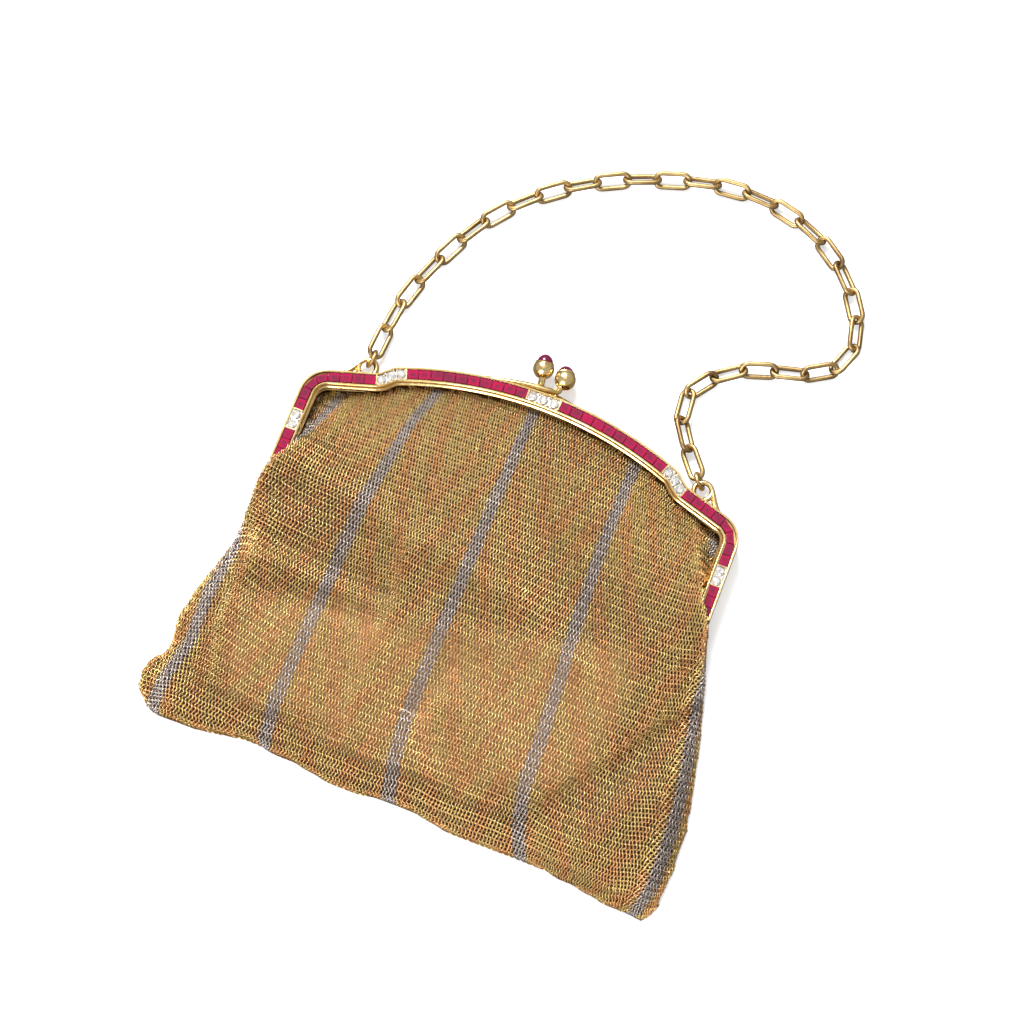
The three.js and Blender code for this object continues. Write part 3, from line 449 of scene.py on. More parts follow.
def inside_frame(x, y):
    """How far in from the frame's centre line each place is, in mm."""
    dx = np.abs(x)[..., None] - HALF_LINE[:, 0]
    dy = y[..., None] - HALF_LINE[:, 1]
    nearest = (dx ** 2 + dy ** 2).argmin(-1)[..., None]
    heading = HALF_LINE[nearest, 2]
    along, across = (np.take_along_axis(d, nearest, -1) for d in (dx, dy))
    return (along * np.sin(heading) - across * np.cos(heading))[..., 0]


def whole_line():
    """Places along the whole centre line, from the left leg's end to the right one's."""
    distances = HALF_LINE[:, 3]
    return [station_matrix(s) for s in np.concatenate([-distances[:0:-1], distances])]


# Materials

def node(tree, kind, sockets=None, links=None, **settings):
    """Adds a node with its settings, socket values and incoming links."""
    made = tree.nodes.new(kind)
    for key, value in settings.items():
        setattr(made, key, value)
    for key, value in (sockets or {}).items():
        made.inputs[key].default_value = value
    for key, source in (links or {}).items():
        tree.links.new(source, made.inputs[key])
    return made


def new_material(name):
    """An empty material and its node tree."""
    material = bpy.data.materials.new(name)
    material.use_nodes = True
    tree = material.node_tree
    tree.nodes.clear()
    return material, tree


def output(tree, shader):
    node(tree, "ShaderNodeOutputMaterial", links={"Surface": shader.outputs[0]})


def polished_gold(name, bright, dull, smooth, rough):
    """Cast and polished gold alloy: clear soft reflections, with duller, darker places where hands rub
    and grime settles, and hairline scratches."""
    material, tree = new_material(name)
    place = node(tree, "ShaderNodeTexCoord").outputs["Object"]
    patch_mm, scratch_mm = 7.0, 0.5
    patches = node(tree, "ShaderNodeTexNoise", {"Scale": 1 / (patch_mm * MM), "Detail": 3.0},
                   {"Vector": place})
    blend = node(tree, "ShaderNodeMapRange", {"From Min": 0.35, "From Max": 0.7},
                 {"Value": patches.outputs["Fac"]})
    colour = node(tree, "ShaderNodeMix", {"A": bright, "B": dull}, {"Factor": blend.outputs[0]},
                  data_type="RGBA")
    scratches = node(tree, "ShaderNodeTexNoise", {"Scale": 1 / (scratch_mm * MM), "Detail": 2.0},
                     {"Vector": place})
    gloss = node(tree, "ShaderNodeMapRange",
                 {"From Min": 0.3, "From Max": 0.75, "To Min": smooth, "To Max": rough},
                 {"Value": scratches.outputs["Fac"]})
    bump = node(tree, "ShaderNodeBump", {"Strength": 0.05, "Distance": 0.02 * MM},
                {"Height": scratches.outputs["Fac"]})
    shader = node(tree, "ShaderNodeBsdfPrincipled", {"Metallic": 1.0},
                  {"Base Color": colour.outputs["Result"], "Roughness": gloss.outputs[0],
                   "Normal": bump.outputs["Normal"]})
    output(tree, shader)
    return material


def drawn_wire(name, bright, roughness):
    """Rings of drawn gold wire: each ring a little lighter or darker than the next, by chance as its joint
    and its wear leave it, and by painted light along the hem and painted shade by the arch, read from
    ring_tone."""
    material, tree = new_material(name)
    tone = node(tree, "ShaderNodeAttribute", attribute_name="ring_tone")
    colour = node(tree, "ShaderNodeMix", {"A": shaded(bright, 0.6), "B": bright},
                  {"Factor": tone.outputs["Fac"]}, data_type="RGBA")
    shader = node(tree, "ShaderNodeBsdfPrincipled", {"Metallic": 1.0, "Roughness": roughness},
                  {"Base Color": colour.outputs["Result"]})
    output(tree, shader)
    return material


def mesh_ground(name):
    """The inside of the mesh, seen between the rings: the far sides of the rings as a dark gold weave of
    ring-sized dots, whose darkness is painted shade, paler over the lower front. The sheet's 'alloy' colour
    holds this shade."""
    material, tree = new_material(name)
    place = node(tree, "ShaderNodeTexCoord").outputs["Object"]
    ring_mm = 1.3
    dots = node(tree, "ShaderNodeTexVoronoi", {"Scale": 1 / (ring_mm * MM)}, {"Vector": place})
    tone = node(tree, "ShaderNodeAttribute", attribute_name="alloy")
    # Painted shade: dots darker at their middles, lighter towards the edges of their cells
    shade = node(tree, "ShaderNodeMapRange", {"To Min": 1.0, "To Max": 1.6},
                 {"Value": dots.outputs["Distance"]})
    colour = node(tree, "ShaderNodeMix", {"Factor": 1.0},
                  {"A": tone.outputs["Color"], "B": shade.outputs[0]},
                  data_type="RGBA", blend_type="MULTIPLY")
    bump = node(tree, "ShaderNodeBump", {"Strength": 0.6, "Distance": 0.2 * MM},
                {"Height": dots.outputs["Distance"]})
    shader = node(tree, "ShaderNodeBsdfPrincipled", {"Metallic": 0.3, "Roughness": 0.6},
                  {"Base Color": colour.outputs["Result"], "Normal": bump.outputs["Normal"]})
    output(tree, shader)
    return material


def mesh_back(name):
    """The back of the mesh, pressed flat: rows of rings as a bump, each row leaning against the next, in
    the golds of the front, darkened between the rings by painted shade."""
    material, tree = new_material(name)
    place = node(tree, "ShaderNodeTexCoord").outputs["Object"]
    # A wave texture of scale 1 has one band in this length, in metres
    band = 0.314
    row_mm, column_mm = 1.31, 0.87
    gold = node(tree, "ShaderNodeAttribute", attribute_name="alloy")
    rows = node(tree, "ShaderNodeTexWave", {"Scale": band / (row_mm * MM), "Distortion": 0.4},
                {"Vector": place}, bands_direction="Y")
    columns = node(tree, "ShaderNodeTexWave", {"Scale": band / (column_mm * MM), "Distortion": 0.4},
                   {"Vector": place}, bands_direction="DIAGONAL")
    rings = node(tree, "ShaderNodeMath", links={0: rows.outputs["Fac"], 1: columns.outputs["Fac"]},
                 operation="MULTIPLY")
    # Painted shade: the golds darken to 35 % between the rings
    shade = node(tree, "ShaderNodeMapRange", {"To Min": 0.35, "To Max": 1.0}, {"Value": rings.outputs[0]})
    colour = node(tree, "ShaderNodeMix", {"Factor": 1.0},
                  {"A": gold.outputs["Color"], "B": shade.outputs[0]},
                  data_type="RGBA", blend_type="MULTIPLY")
    bump = node(tree, "ShaderNodeBump", {"Strength": 0.8, "Distance": 0.3 * MM},
                {"Height": rings.outputs[0]})
    shader = node(tree, "ShaderNodeBsdfPrincipled", {"Metallic": 1.0, "Roughness": 0.45},
                  {"Base Color": colour.outputs["Result"], "Normal": bump.outputs["Normal"]})
    output(tree, shader)
    return material


def cut_stone(name, bright, deep, clear, ior, gleam):
    """Polished gem, deep to bright by stone_tone: painted facet light and shade, and each stone's own tone.
    """
    material, tree = new_material(name)
    tone = node(tree, "ShaderNodeAttribute", attribute_name="stone_tone")
    colour = node(tree, "ShaderNodeMix", {"A": deep, "B": bright}, {"Factor": tone.outputs["Fac"]},
                  data_type="RGBA")
    shader = node(tree, "ShaderNodeBsdfPrincipled",
                  {"Roughness": 0.04, "IOR": ior, "Specular IOR Level": gleam,
                   "Transmission Weight": clear},
                  {"Base Color": colour.outputs["Result"]})
    output(tree, shader)
    return material


def pale_floor(name, tone, glow):
    """Matt studio paper on a light table: even and pale to the eye, with a faint tooth and weak shadows.
    Polished metal mirrors it dimly, as it does the unlit room round a table."""
    material, tree = new_material(name)
    place = node(tree, "ShaderNodeTexCoord").outputs["Object"]
    tooth_mm, mirrored = 1.5, 0.6
    tooth = node(tree, "ShaderNodeTexNoise", {"Scale": 1 / (tooth_mm * MM)}, {"Vector": place})
    bump = node(tree, "ShaderNodeBump", {"Strength": 0.05, "Distance": 0.05 * MM},
                {"Height": tooth.outputs["Fac"]})
    paper = node(tree, "ShaderNodeBsdfPrincipled",
                 {"Base Color": tone, "Roughness": 0.9, "Emission Color": (1.0, 1.0, 1.0, 1.0),
                  "Emission Strength": glow},
                 {"Normal": bump.outputs["Normal"]})
    dim = node(tree, "ShaderNodeEmission", {"Color": tone, "Strength": mirrored})
    ray = node(tree, "ShaderNodeLightPath")
    shader = node(tree, "ShaderNodeMixShader",
                  links={0: ray.outputs["Is Glossy Ray"], 1: paper.outputs[0], 2: dim.outputs[0]})
    output(tree, shader)
    return material


def gold_for(settings, part):
    """The frame's or the chain's gold, made once."""
    name = {"frame": "polished yellow gold", "chain": "dulled yellow gold"}[part]
    if name in bpy.data.materials:
        return bpy.data.materials[name]
    if part == "frame":
        return polished_gold(name, tuple(settings.gold), tuple(settings.gold_dark), smooth=0.13, rough=0.3)
    return polished_gold(name, tuple(settings.chain), tuple(settings.chain_dark), smooth=0.42, rough=0.5)


# Frame, clasp and stones

class PURSE_OT_frame(bpy.types.Operator):
    """Sweeps the two jaws of the frame and gives the hinges their gold"""

    bl_idname = "purse.frame"
    bl_label = "Frame"

    def execute(self, context):
        gold = gold_for(context.scene.purse_metal, "frame")
        places = whole_line()
        rails = (("front_rail", FRONT_SECTION, "front_jaw"), ("back_rail", BACK_SECTION, "back_jaw"))
        for name, section, jaw in rails:
            bm = bmesh.new()
            sweep(bm, places, section)
            finish_piece(bm, name, gold, [jaw], sharp=32.0)
        for name in ("hinge_left", "hinge_right"):
            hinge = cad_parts[name]
            hinge.data.materials.clear()
            hinge.data.materials.append(gold)
        return {"FINISHED"}


class PURSE_OT_clasp(bpy.types.Operator):
    """Turns the two clasp balls with their ruby domes and draws their arms"""

    bl_idname = "purse.clasp"
    bl_label = "Clasp"

    def execute(self, context):
        stones = context.scene.purse_stones
        gold = gold_for(context.scene.purse_metal, "frame")
        ruby = cut_stone("polished ruby dome", tuple(stones.ruby), tuple(stones.dome),
                         clear=0.05, ior=RUBY_IOR, gleam=0.2)
        low, high = math.atan2(*BALL_PROFILE[-1]), math.atan2(*COLLAR_PROFILE[0])
        ball_rings = 14
        angles = np.linspace(low, high, ball_rings)
        sphere = [(BALL_RADIUS * math.sin(a), BALL_RADIUS * math.cos(a)) for a in angles]
        for part in CLASP:
            turn = Matrix.Rotation(math.radians(part["turn"]), 4, "Z")
            tilt = Matrix.Rotation(math.radians(part["tilt"]), 4, "X")
            place = Matrix.Translation(part["ball"]) @ turn @ tilt
            bm = bmesh.new()
            turned(bm, BALL_PROFILE + sphere + COLLAR_PROFILE, place, steps=36)
            finish_piece(bm, f"clasp_ball_{part['side']}", gold, [part["jaw"]])
            bm = bmesh.new()
            rod(bm, part["arm"], count=40, sides=14)
            finish_piece(bm, f"clasp_arm_{part['side']}", gold, [part["jaw"]])
            bm = bmesh.new()
            turned(bm, DOME_PROFILE, place, steps=28)
            dome = finish_piece(bm, f"ruby_dome_{part['side']}", ruby, [f"cabochon_{part['side']}"])
            tone = dome.data.attributes.new("stone_tone", "FLOAT", "POINT")
            tone.data.foreach_set("value", np.zeros(len(dome.data.vertices), np.float32))
        return {"FINISHED"}


def ruby_outline(start, end, space):
    """Corners of a ruby between two distances along the groove, clear of the groove's curved walls."""
    a, b = station_matrix(start + space / 2), station_matrix(end - space / 2)
    turn = math.remainder(b.to_euler().z - a.to_euler().z, 2 * math.pi)
    reach = STONE_HALF - (end - start) / 2 * math.tan(abs(turn) / 4)
    return [place @ Vector((side * reach, 0, 0)) for place, side in ((a, -1), (a, 1), (b, 1), (b, -1))]


class PURSE_OT_stones(bpy.types.Operator):
    """Cuts the rubies and diamonds and makes their settings"""

    bl_idname = "purse.stones"
    bl_label = "Stones"

    def execute(self, context):
        settings = context.scene.purse_stones
        metal = context.scene.purse_metal
        chance = np.random.default_rng(7)
        space = settings.space / MM
        darkest, lightest, painted_facet_spread = -0.4, 0.3, 0.5
        rubies, diamonds, plates, dividers = (bmesh.new() for _ in range(4))
        tones = {"ruby": [], "diamond": []}
        for run in STONE_RUNS:
            pitch = (run["end"] - run["start"]) / run["count"]
            for side in (-1, 1) if run["paired"] else (1,):
                for edge in (run["start"], run["end"]):
                    self.divider(dividers, side * edge)
                for i in range(run["count"]):
                    ends = sorted(side * (run["start"] + (i + step) * pitch) for step in (0, 1))
                    if run["stone"] == "ruby":
                        self.step_cut(rubies, ruby_outline(*ends, space))
                        # A tone of each stone's own, by chance; then painted light and shade on its facets:
                        # each level's tone and a chance lift or drop at each corner
                        lighter = chance.uniform(darkest, lightest)
                        for level in RUBY_LEVELS:
                            facets = chance.uniform(-painted_facet_spread, painted_facet_spread, 4)
                            tones["ruby"] += list(level["tone"] + lighter + facets)
                    else:
                        before = len(diamonds.verts)
                        self.brilliant(diamonds, plates, ends)
                        # Painted glints: each corner of a diamond's facets gets a brightness by chance
                        tones["diamond"] += list(chance.uniform(0.0, 1.0, len(diamonds.verts) - before))
        deep, clear = tuple(settings.ruby_dark), tuple(settings.diamond)
        ruby = cut_stone("calibre-cut ruby", tuple(settings.ruby), deep,
                         clear=0.12, ior=RUBY_IOR, gleam=0.07)
        # The diamonds' deep tone is the painted shade between their glints
        diamond = cut_stone("brilliant-cut diamond", clear, shaded(clear, 0.3),
                            clear=0.6, ior=DIAMOND_IOR, gleam=0.5)
        nodes = {kind: [f"{name}_{side}" for name in names for side in ("left", "right")]
                 for kind, names in STONE_RUN_NODES.items()}
        nodes["diamond"].append("diamonds_centre")
        for kind, bm, name, material in (("ruby", rubies, "calibre_rubies", ruby),
                                         ("diamond", diamonds, "round_diamonds", diamond)):
            piece = finish_piece(bm, name, material, nodes[kind], sharp=0.0)
            values = np.clip(np.array(tones[kind], np.float32), 0, 1)
            piece.data.attributes.new("stone_tone", "FLOAT", "POINT").data.foreach_set("value", values)
        white = polished_gold("white setting metal", tuple(metal.white), shaded(metal.white, 0.8),
                              smooth=0.35, rough=0.5)
        finish_piece(plates, "diamond_settings", white, nodes["diamond"])
        finish_piece(dividers, "run_dividers", gold_for(metal, "frame"), ["front_jaw"])
        return {"FINISHED"}

    def step_cut(self, bm, outline):
        """A ruby grown level by level from its outline in the groove."""
        middle = sum(outline, Vector()) / len(outline)
        level = RUBY_LEVELS[0]
        lift = Vector((0, 0, GROOVE_FLOOR + level["height"]))
        face = bm.faces.new([bm.verts.new(middle + (p - middle) * level["share"] + lift) for p in outline])
        for after in RUBY_LEVELS[1:]:
            made = bmesh.ops.extrude_face_region(bm, geom=[face])["geom"]
            verts = [item for item in made if isinstance(item, bmesh.types.BMVert)]
            face = next(item for item in made if isinstance(item, bmesh.types.BMFace))
            at = Matrix.Translation(middle + Vector((0, 0, GROOVE_FLOOR + level["height"])))
            share = after["share"] / level["share"]
            grow = at @ Matrix.Diagonal((share, share, 1.0, 1.0)) @ at.inverted()
            rise = Matrix.Translation((0, 0, after["height"] - level["height"]))
            bmesh.ops.transform(bm, matrix=rise @ grow, verts=verts)
            level = after

    def brilliant(self, bm, plates, ends):
        """A round diamond, with its seat and four prongs."""
        middle = station_matrix(sum(ends) / 2)
        length = (ends[1] - ends[0]) / 2
        radius = min(length - BRILLIANT_SPACE, STONE_HALF)
        points = []
        for level in BRILLIANT_LEVELS:
            reach = radius * level["share"]
            for i in range(level["corners"]):
                angle = 2 * math.pi * (i + level["turned"]) / level["corners"]
                spot = (reach * math.cos(angle), reach * math.sin(angle), GROOVE_FLOOR + level["height"])
                points.append(bm.verts.new(middle @ Vector(spot)))
        bmesh.ops.convex_hull(bm, input=points)
        seat = middle @ Matrix.Translation((0, 0, GROOVE_FLOOR + SEAT["height"]))
        size = Matrix.Diagonal((SEAT["width"], 2 * length, SEAT["thickness"], 1.0))
        bmesh.ops.create_cube(plates, size=1.0, matrix=seat @ size)
        for out in (-1, 1):
            for along in (-1, 1):
                self.prong(plates, middle, out * PRONG["out"], along * (length - PRONG["inset"]))

    def prong(self, bm, middle, out, along):
        """A round headed prong on its stem."""
        head = middle @ Vector((out, along, GROOVE_FLOOR + PRONG["height"]))
        bmesh.ops.create_icosphere(bm, subdivisions=2, radius=PRONG["radius"],
                                   matrix=Matrix.Translation(head))
        stem = Matrix.Translation(head - Vector((0, 0, PRONG["stem"] / 2)))
        bmesh.ops.create_cone(bm, cap_ends=True, segments=8, radius1=PRONG["stem_radius"],
                              radius2=PRONG["stem_radius"], depth=PRONG["stem"], matrix=stem)

    def divider(self, bm, distance):
        """A bar of gold across the groove, between two runs of stones."""
        at = station_matrix(distance) @ Matrix.Translation((0, 0, GROOVE_FLOOR + DIVIDER["height"]))
        size = Matrix.Diagonal((DIVIDER["width"], DIVIDER["length"], DIVIDER["thickness"], 1.0))
        bmesh.ops.create_cube(bm, size=1.0, matrix=at @ size)


# Chain

class PURSE_OT_chain(bpy.types.Operator):
    """Bends the chain's links and rings from round wire and forges its eyes"""

    bl_idname = "purse.chain"
    bl_label = "Chain"

    def execute(self, context):
        settings = context.scene.purse_metal
        gold = gold_for(settings, "chain")
        links = bmesh.new()
        for name in LINK_NODES:
            self.lay(links, name, SOLID_LINK_WIRE, settings.link_wire / MM)
        finish_piece(links, "chain_links", gold, LINK_NODES)
        rings = bmesh.new()
        ring_nodes = ["jump_ring_left", "jump_ring_right"]
        for name in ring_nodes:
            self.lay(rings, name, SOLID_RING_WIRE, JUMP_RING_WIRE)
        finish_piece(rings, "jump_rings", gold, ring_nodes)
        eyes = bmesh.new()
        for side in (-1, 1):
            self.eye(eyes, side)
        finish_piece(eyes, "chain_eyes", gold_for(settings, "frame"), ["back_jaw"])
        return {"FINISHED"}

    def lay(self, bm, name, solid_wire, wire):
        """An oval of wire where its solid lies, turned as it is."""
        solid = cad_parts[name]
        points = np.array([solid.matrix_world @ v.co for v in solid.data.vertices]) / MM
        points = np.unique(np.round(points, 4), axis=0)
        centre = points.mean(0)
        axes = np.linalg.svd(points - centre)[2]
        if np.linalg.det(axes) < 0:
            axes[2] = -axes[2]
        spread = np.abs((points - centre) @ axes.T).max(0)
        radius = spread[1] - solid_wire
        straight = spread[0] - solid_wire - radius
        if straight < 0.05:
            straight = 0.0
        lift = Vector((0, 0, max(wire - solid_wire, 0.0)))
        at = Matrix.Translation(Vector(centre) + lift) @ Matrix(axes.T.tolist()).to_4x4()
        upright = at @ Matrix.Translation((straight, -radius, 0)) @ Matrix.Rotation(math.pi / 2, 4, "Y")
        section = bmesh.ops.create_circle(bm, segments=12, radius=wire, matrix=upright)["verts"]
        edges = list({edge for vert in section for edge in vert.link_edges})
        steps = 9
        bend = Matrix.Rotation(math.pi / steps, 4, "Z")
        right = Matrix.Translation((straight, 0, 0)) @ bend @ Matrix.Translation((-straight, 0, 0))
        left = Matrix.Translation((-straight, 0, 0)) @ bend @ Matrix.Translation((straight, 0, 0))
        back = Matrix.Translation((-2 * straight, 0, 0))
        moves = [right] * steps + ([back] if straight else []) + [left] * steps
        last = extrude_loop(bm, edges, [at @ move @ at.inverted() for move in moves])
        if straight:
            bmesh.ops.bridge_loops(bm, edges=edges + last)

    def eye(self, bm, side):
        """The ring of an eye and the two arms of its tail."""
        centre = Vector((side * EYE["x"], EYE["y"], EYE["z"]))
        rim = centre + Vector((EYE["radius"], 0, 0))
        at = Matrix.Translation(rim) @ Matrix.Rotation(math.pi / 2, 4, "X")
        ring = bmesh.ops.create_circle(bm, segments=12, radius=EYE["wire"], matrix=at)["verts"]
        edges = list({edge for vert in ring for edge in vert.link_edges})
        bmesh.ops.spin(bm, geom=ring + edges, cent=centre, axis=(0, 0, 1), angle=2 * math.pi, steps=28,
                       use_merge=True)
        for arm in EYE_ARMS:
            points = [(centre.x + side * x, centre.y + y, centre.z + z, radius) for x, y, z, radius in arm]
            rod(bm, points, count=14, sides=10)


# Ring mesh

def height_field():
    """Heights of the pouch's outside over the table, in mm, on an even grid, and where it is."""
    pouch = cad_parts["mesh_bag"]
    tree = BVHTree.FromPolygons([pouch.matrix_world @ v.co for v in pouch.data.vertices],
                                [p.vertices[:] for p in pouch.data.polygons])
    low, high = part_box("mesh_bag")
    across = np.arange(math.floor(low.x / MM) - 2, math.ceil(high.x / MM) + 3, 1.0)
    up = np.arange(math.floor(low.y / MM) - 2, math.ceil(high.y / MM) + 3, 1.0)
    heights = np.full((len(up), len(across)), np.nan)
    above, least_mm = 0.05, 2.0
    for i, y in enumerate(up):
        for j, x in enumerate(across):
            hit = tree.ray_cast(Vector((x * MM, y * MM, above)), Vector((0, 0, -1)))[0]
            if hit is not None and hit.z > least_mm * MM:
                heights[i, j] = hit.z / MM
    return across, up, heights


def blur(values, axis=0):
    """Each value weighed with its neighbours along one axis."""
    padded = np.concatenate([values.take([0], axis), values, values.take([-1], axis)], axis)
    count = values.shape[axis]
    before, after = padded.take(range(count), axis), padded.take(range(2, count + 2), axis)
    return 0.25 * before + 0.5 * values + 0.25 * after


def spread_out(heights):
    """Fills the places outside the pouch from their neighbours, then rounds off the facets."""
    known = ~np.isnan(heights)
    filled = np.where(known, heights, 0.0)
    weight = known.astype(float)
    fill_steps, smooth_steps = 40, 3
    for _ in range(fill_steps):
        total, count = blur(blur(filled * weight), 1), blur(blur(weight), 1)
        grown = np.where(count > 1e-9, total / np.maximum(count, 1e-9), 0.0)
        filled = np.where(weight > 0, filled, grown)
        weight = np.where(weight > 0, weight, (count > 1e-9).astype(float))
    for _ in range(smooth_steps):
        filled = blur(blur(filled), 1)
    return filled


def sample(grid, across, up, x, y):
    """Bilinear value of a grid at places in mm."""
    i = np.clip((y - up[0]), 0, len(up) - 1.001)
    j = np.clip((x - across[0]), 0, len(across) - 1.001)
    i0, j0 = i.astype(int), j.astype(int)
    a, b = i - i0, j - j0
    return ((1 - a) * (1 - b) * grid[i0, j0] + (1 - a) * b * grid[i0, j0 + 1]
            + a * (1 - b) * grid[i0 + 1, j0] + a * b * grid[i0 + 1, j0 + 1])


def near_line(corners, x, y):
    """Distance of each place from a line of corners."""
    nearest = np.full(x.shape, 1e9)
    for (x0, y0), (x1, y1) in zip(corners, corners[1:]):
        dx, dy = x1 - x0, y1 - y0
        t = np.clip(((x - x0) * dx + (y - y0) * dy) / (dx * dx + dy * dy), 0, 1)
        nearest = np.minimum(nearest, np.hypot(x - x0 - t * dx, y - y0 - t * dy))
    return nearest


def within(loop, x, y):
    """Which places lie inside a closed loop of corners."""
    inside = np.zeros(x.shape, bool)
    for (x0, y0), (x1, y1) in zip(loop, loop[1:] + loop[:1]):
        if y0 != y1:
            inside ^= ((y0 > y) != (y1 > y)) & (x < x0 + (y - y0) * (x1 - x0) / (y1 - y0))
    return inside


def crease_rise(x, y):
    """How far the finer folds lift the mesh at each place."""
    total = np.zeros_like(x)
    for crease in CREASES:
        distance = near_line([crease["from"], crease["to"]], x, y)
        total += crease["rise"] * np.exp(-(distance / crease["width"]) ** 2)
    return total


def pale_ground_share(x, y):
    """How much paler the ground is at each place, from 0 to 1 over the outline's soft edge."""
    far = near_line(PALE_GROUND_OUTLINE + PALE_GROUND_OUTLINE[:1], x, y)
    return np.clip(0.5 + np.where(within(PALE_GROUND_OUTLINE, x, y), far, -far) / PALE_GROUND_EDGE, 0, 1)


def panel_drop(x, y):
    """How far the cloth outside the raised front panel lies below it."""
    step_mm, roll_mm, roll_rise = 1.6, 2.2, 0.35
    nearest = near_line(PANEL_EDGE, x, y)
    beyond_bag = [(120.0, 90.0), (-120.0, 90.0)]
    inside = within(PANEL_EDGE + beyond_bag, x, y)
    step = np.clip(nearest / step_mm, 0, 1)
    drop = PANEL_STEP * step * step * (3 - 2 * step)
    roll = -roll_rise * np.exp(-(nearest / roll_mm) ** 2)
    return np.where(inside, roll, drop + roll)


def gusset_drop(x, y):
    """How far the mesh sinks in the corners of the frame, behind the edge of the front."""
    depth_mm, over_mm = 2.2, 2.5
    total = np.zeros_like(x)
    for (x0, y0), (x1, y1) in GUSSETS:
        line = x0 + (y - y0) * (x1 - x0) / (y1 - y0)
        past = math.copysign(1.0, x0) * (x - line)
        total += np.where(y > y1 - 1, depth_mm * np.clip(past / over_mm, 0, 1), 0.0)
    return total


class Pouch:
    """The outside of the pouch's solid: its heights on a grid and the edges of its silhouette, in mm."""

    def __init__(self, outset):
        self.outset = outset
        self.across, self.up, heights = height_field()
        known = ~np.isnan(heights)
        self.heights = spread_out(heights)
        in_row, in_column = known.any(1), known.any(0)
        self.levels, self.places = self.up[in_row], self.across[in_column]
        left, right = edge_places(known[in_row], self.across)
        bottom, self.top = edge_places(known.T[in_column], self.up)
        self.sides = {"left": blur(blur(left)), "right": blur(blur(right))}
        self.bottom = blur(blur(bottom))
        self.top_row = self.top.max()
        hem_reach = 60
        self.hem_row = bottom[np.abs(self.places) < hem_reach].mean()

    def side(self, name, level):
        """Where the mesh turns down at one side, at each level. Above the legs' ends it stays as wide."""
        free_below = 8.0
        places, reach = CORNER_OUTSETS[name]
        corner = np.interp(-level, -np.array(places), reach)
        edge = np.interp(np.minimum(level, free_below), self.levels, self.sides[name])
        out = {"left": -1, "right": 1}[name]
        return edge + out * self.outset + out * corner

    def hem(self, x):
        """Where the mesh turns under at the bottom, a little lower at the left corner."""
        corner_from, corner_over, corner_drop = -66.0, 6.0, 1.5
        corner = np.clip((corner_from - x) / corner_over, 0, 1)
        return np.interp(x, self.places, self.bottom) - self.outset - corner_drop * corner


class MeshLay:
    """Where every ring of the front lies: a grid of rows and columns with its three directions, in mm."""

    def __init__(self, settings):
        pitch = settings.row_pitch / MM
        pouch = Pouch(settings.outset / MM)
        under_mm = 10.0
        level = np.arange(pouch.top_row + 2 * pitch, pouch.hem_row - under_mm, -pitch / 2)[:, None]
        self.rows = settings.rows
        self.columns = np.arange(-EDGE_COLUMNS, STRIPES[-1]["column"] + EDGE_COLUMNS + 1)
        unrolled = column_places(level[:, 0], self.columns)
        left, right = pouch.side("left", level), pouch.side("right", level)
        x = np.clip(unrolled, left, right)
        past_side = np.maximum(left - unrolled, 0) + np.maximum(unrolled - right, 0)
        y, past_hem = self.rows_up(pouch, level, x)
        z = self.heights(pouch, x, y) - past_hem - past_side
        inward = inside_frame(x, y)
        held = y > HELD_ABOVE
        tuck_mm, tuck_over = 1.8, 8.0
        z = z - np.where(held, tuck_mm * np.clip(1.0 - (inward - RAIL_EDGE) / tuck_over, 0, 1) ** 1.5, 0.0)
        over_leg, past_leg = 0.5, 0.2
        hidden = (past_hem * past_side > 1e-6) | ((level > over_leg) & (past_side > past_leg))
        no_ring = hidden | (held & (inward < RINGS_END))
        no_ground = hidden | (held & (inward < GROUND_ENDS))
        for _ in range(3):
            x, y, z = (blur(blur(v, 1)) for v in (x, y, z))
        grid = np.stack([x, y, z, no_ring.astype(float), no_ground.astype(float)], -1)
        grid = np.stack([even_steps(grid[:, c], pitch, self.rows) for c in range(len(self.columns))], 1)
        self.points = grid[..., :3]
        turned_under = 0.75
        above = self.points[..., 2] > turned_under
        self.shown = above & (grid[..., 3] < 0.5)
        self.backed = above & (grid[..., 4] < 0.5)
        along = np.gradient(self.points, axis=1)
        down = np.gradient(self.points, axis=0)
        self.pitch = np.linalg.norm(along, axis=-1)
        self.along = unit(along)
        self.normal = unit(np.cross(down, along))
        self.down = unit(np.cross(self.along, self.normal))

    def rows_up(self, pouch, level, x):
        """Where the rows lie up the bag, and how far they would go past the hem. They follow the mouth a
        little at the top, and the hem more and more towards the bottom."""
        follow, relax_mm, slack_mm, most_sink = 0.4, 14.0, 0.9, 1.2
        mouth = np.interp(x, pouch.places, pouch.top) - pouch.top_row
        hem = pouch.hem(x)
        y = level + follow * np.exp((level - pouch.top_row) / relax_mm) * mouth - slack_mm
        y = y + np.clip(level / pouch.hem_row, 0, most_sink) ** 2 * (hem - pouch.hem_row)
        return np.maximum(y, hem), np.maximum(hem - y, 0.0)

    def heights(self, pouch, x, y):
        """Heights over the table: the solid's, with the finer folds, the gussets and the raised panel."""
        fold_from, fold_over, least_mm = 3.0, 3.0, 2.6
        z = sample(pouch.heights, pouch.across, pouch.up, x, y)
        z = z + crease_rise(x, y) * np.clip((z - fold_from) / fold_over, 0, 1) - gusset_drop(x, y)
        return np.where(z > least_mm, np.maximum(z - panel_drop(x, y), least_mm), z)


def edge_places(known, places):
    """First and last known place of each line."""
    first = places[known.argmax(1)]
    last = places[known.shape[1] - 1 - known[:, ::-1].argmax(1)]
    return first, last


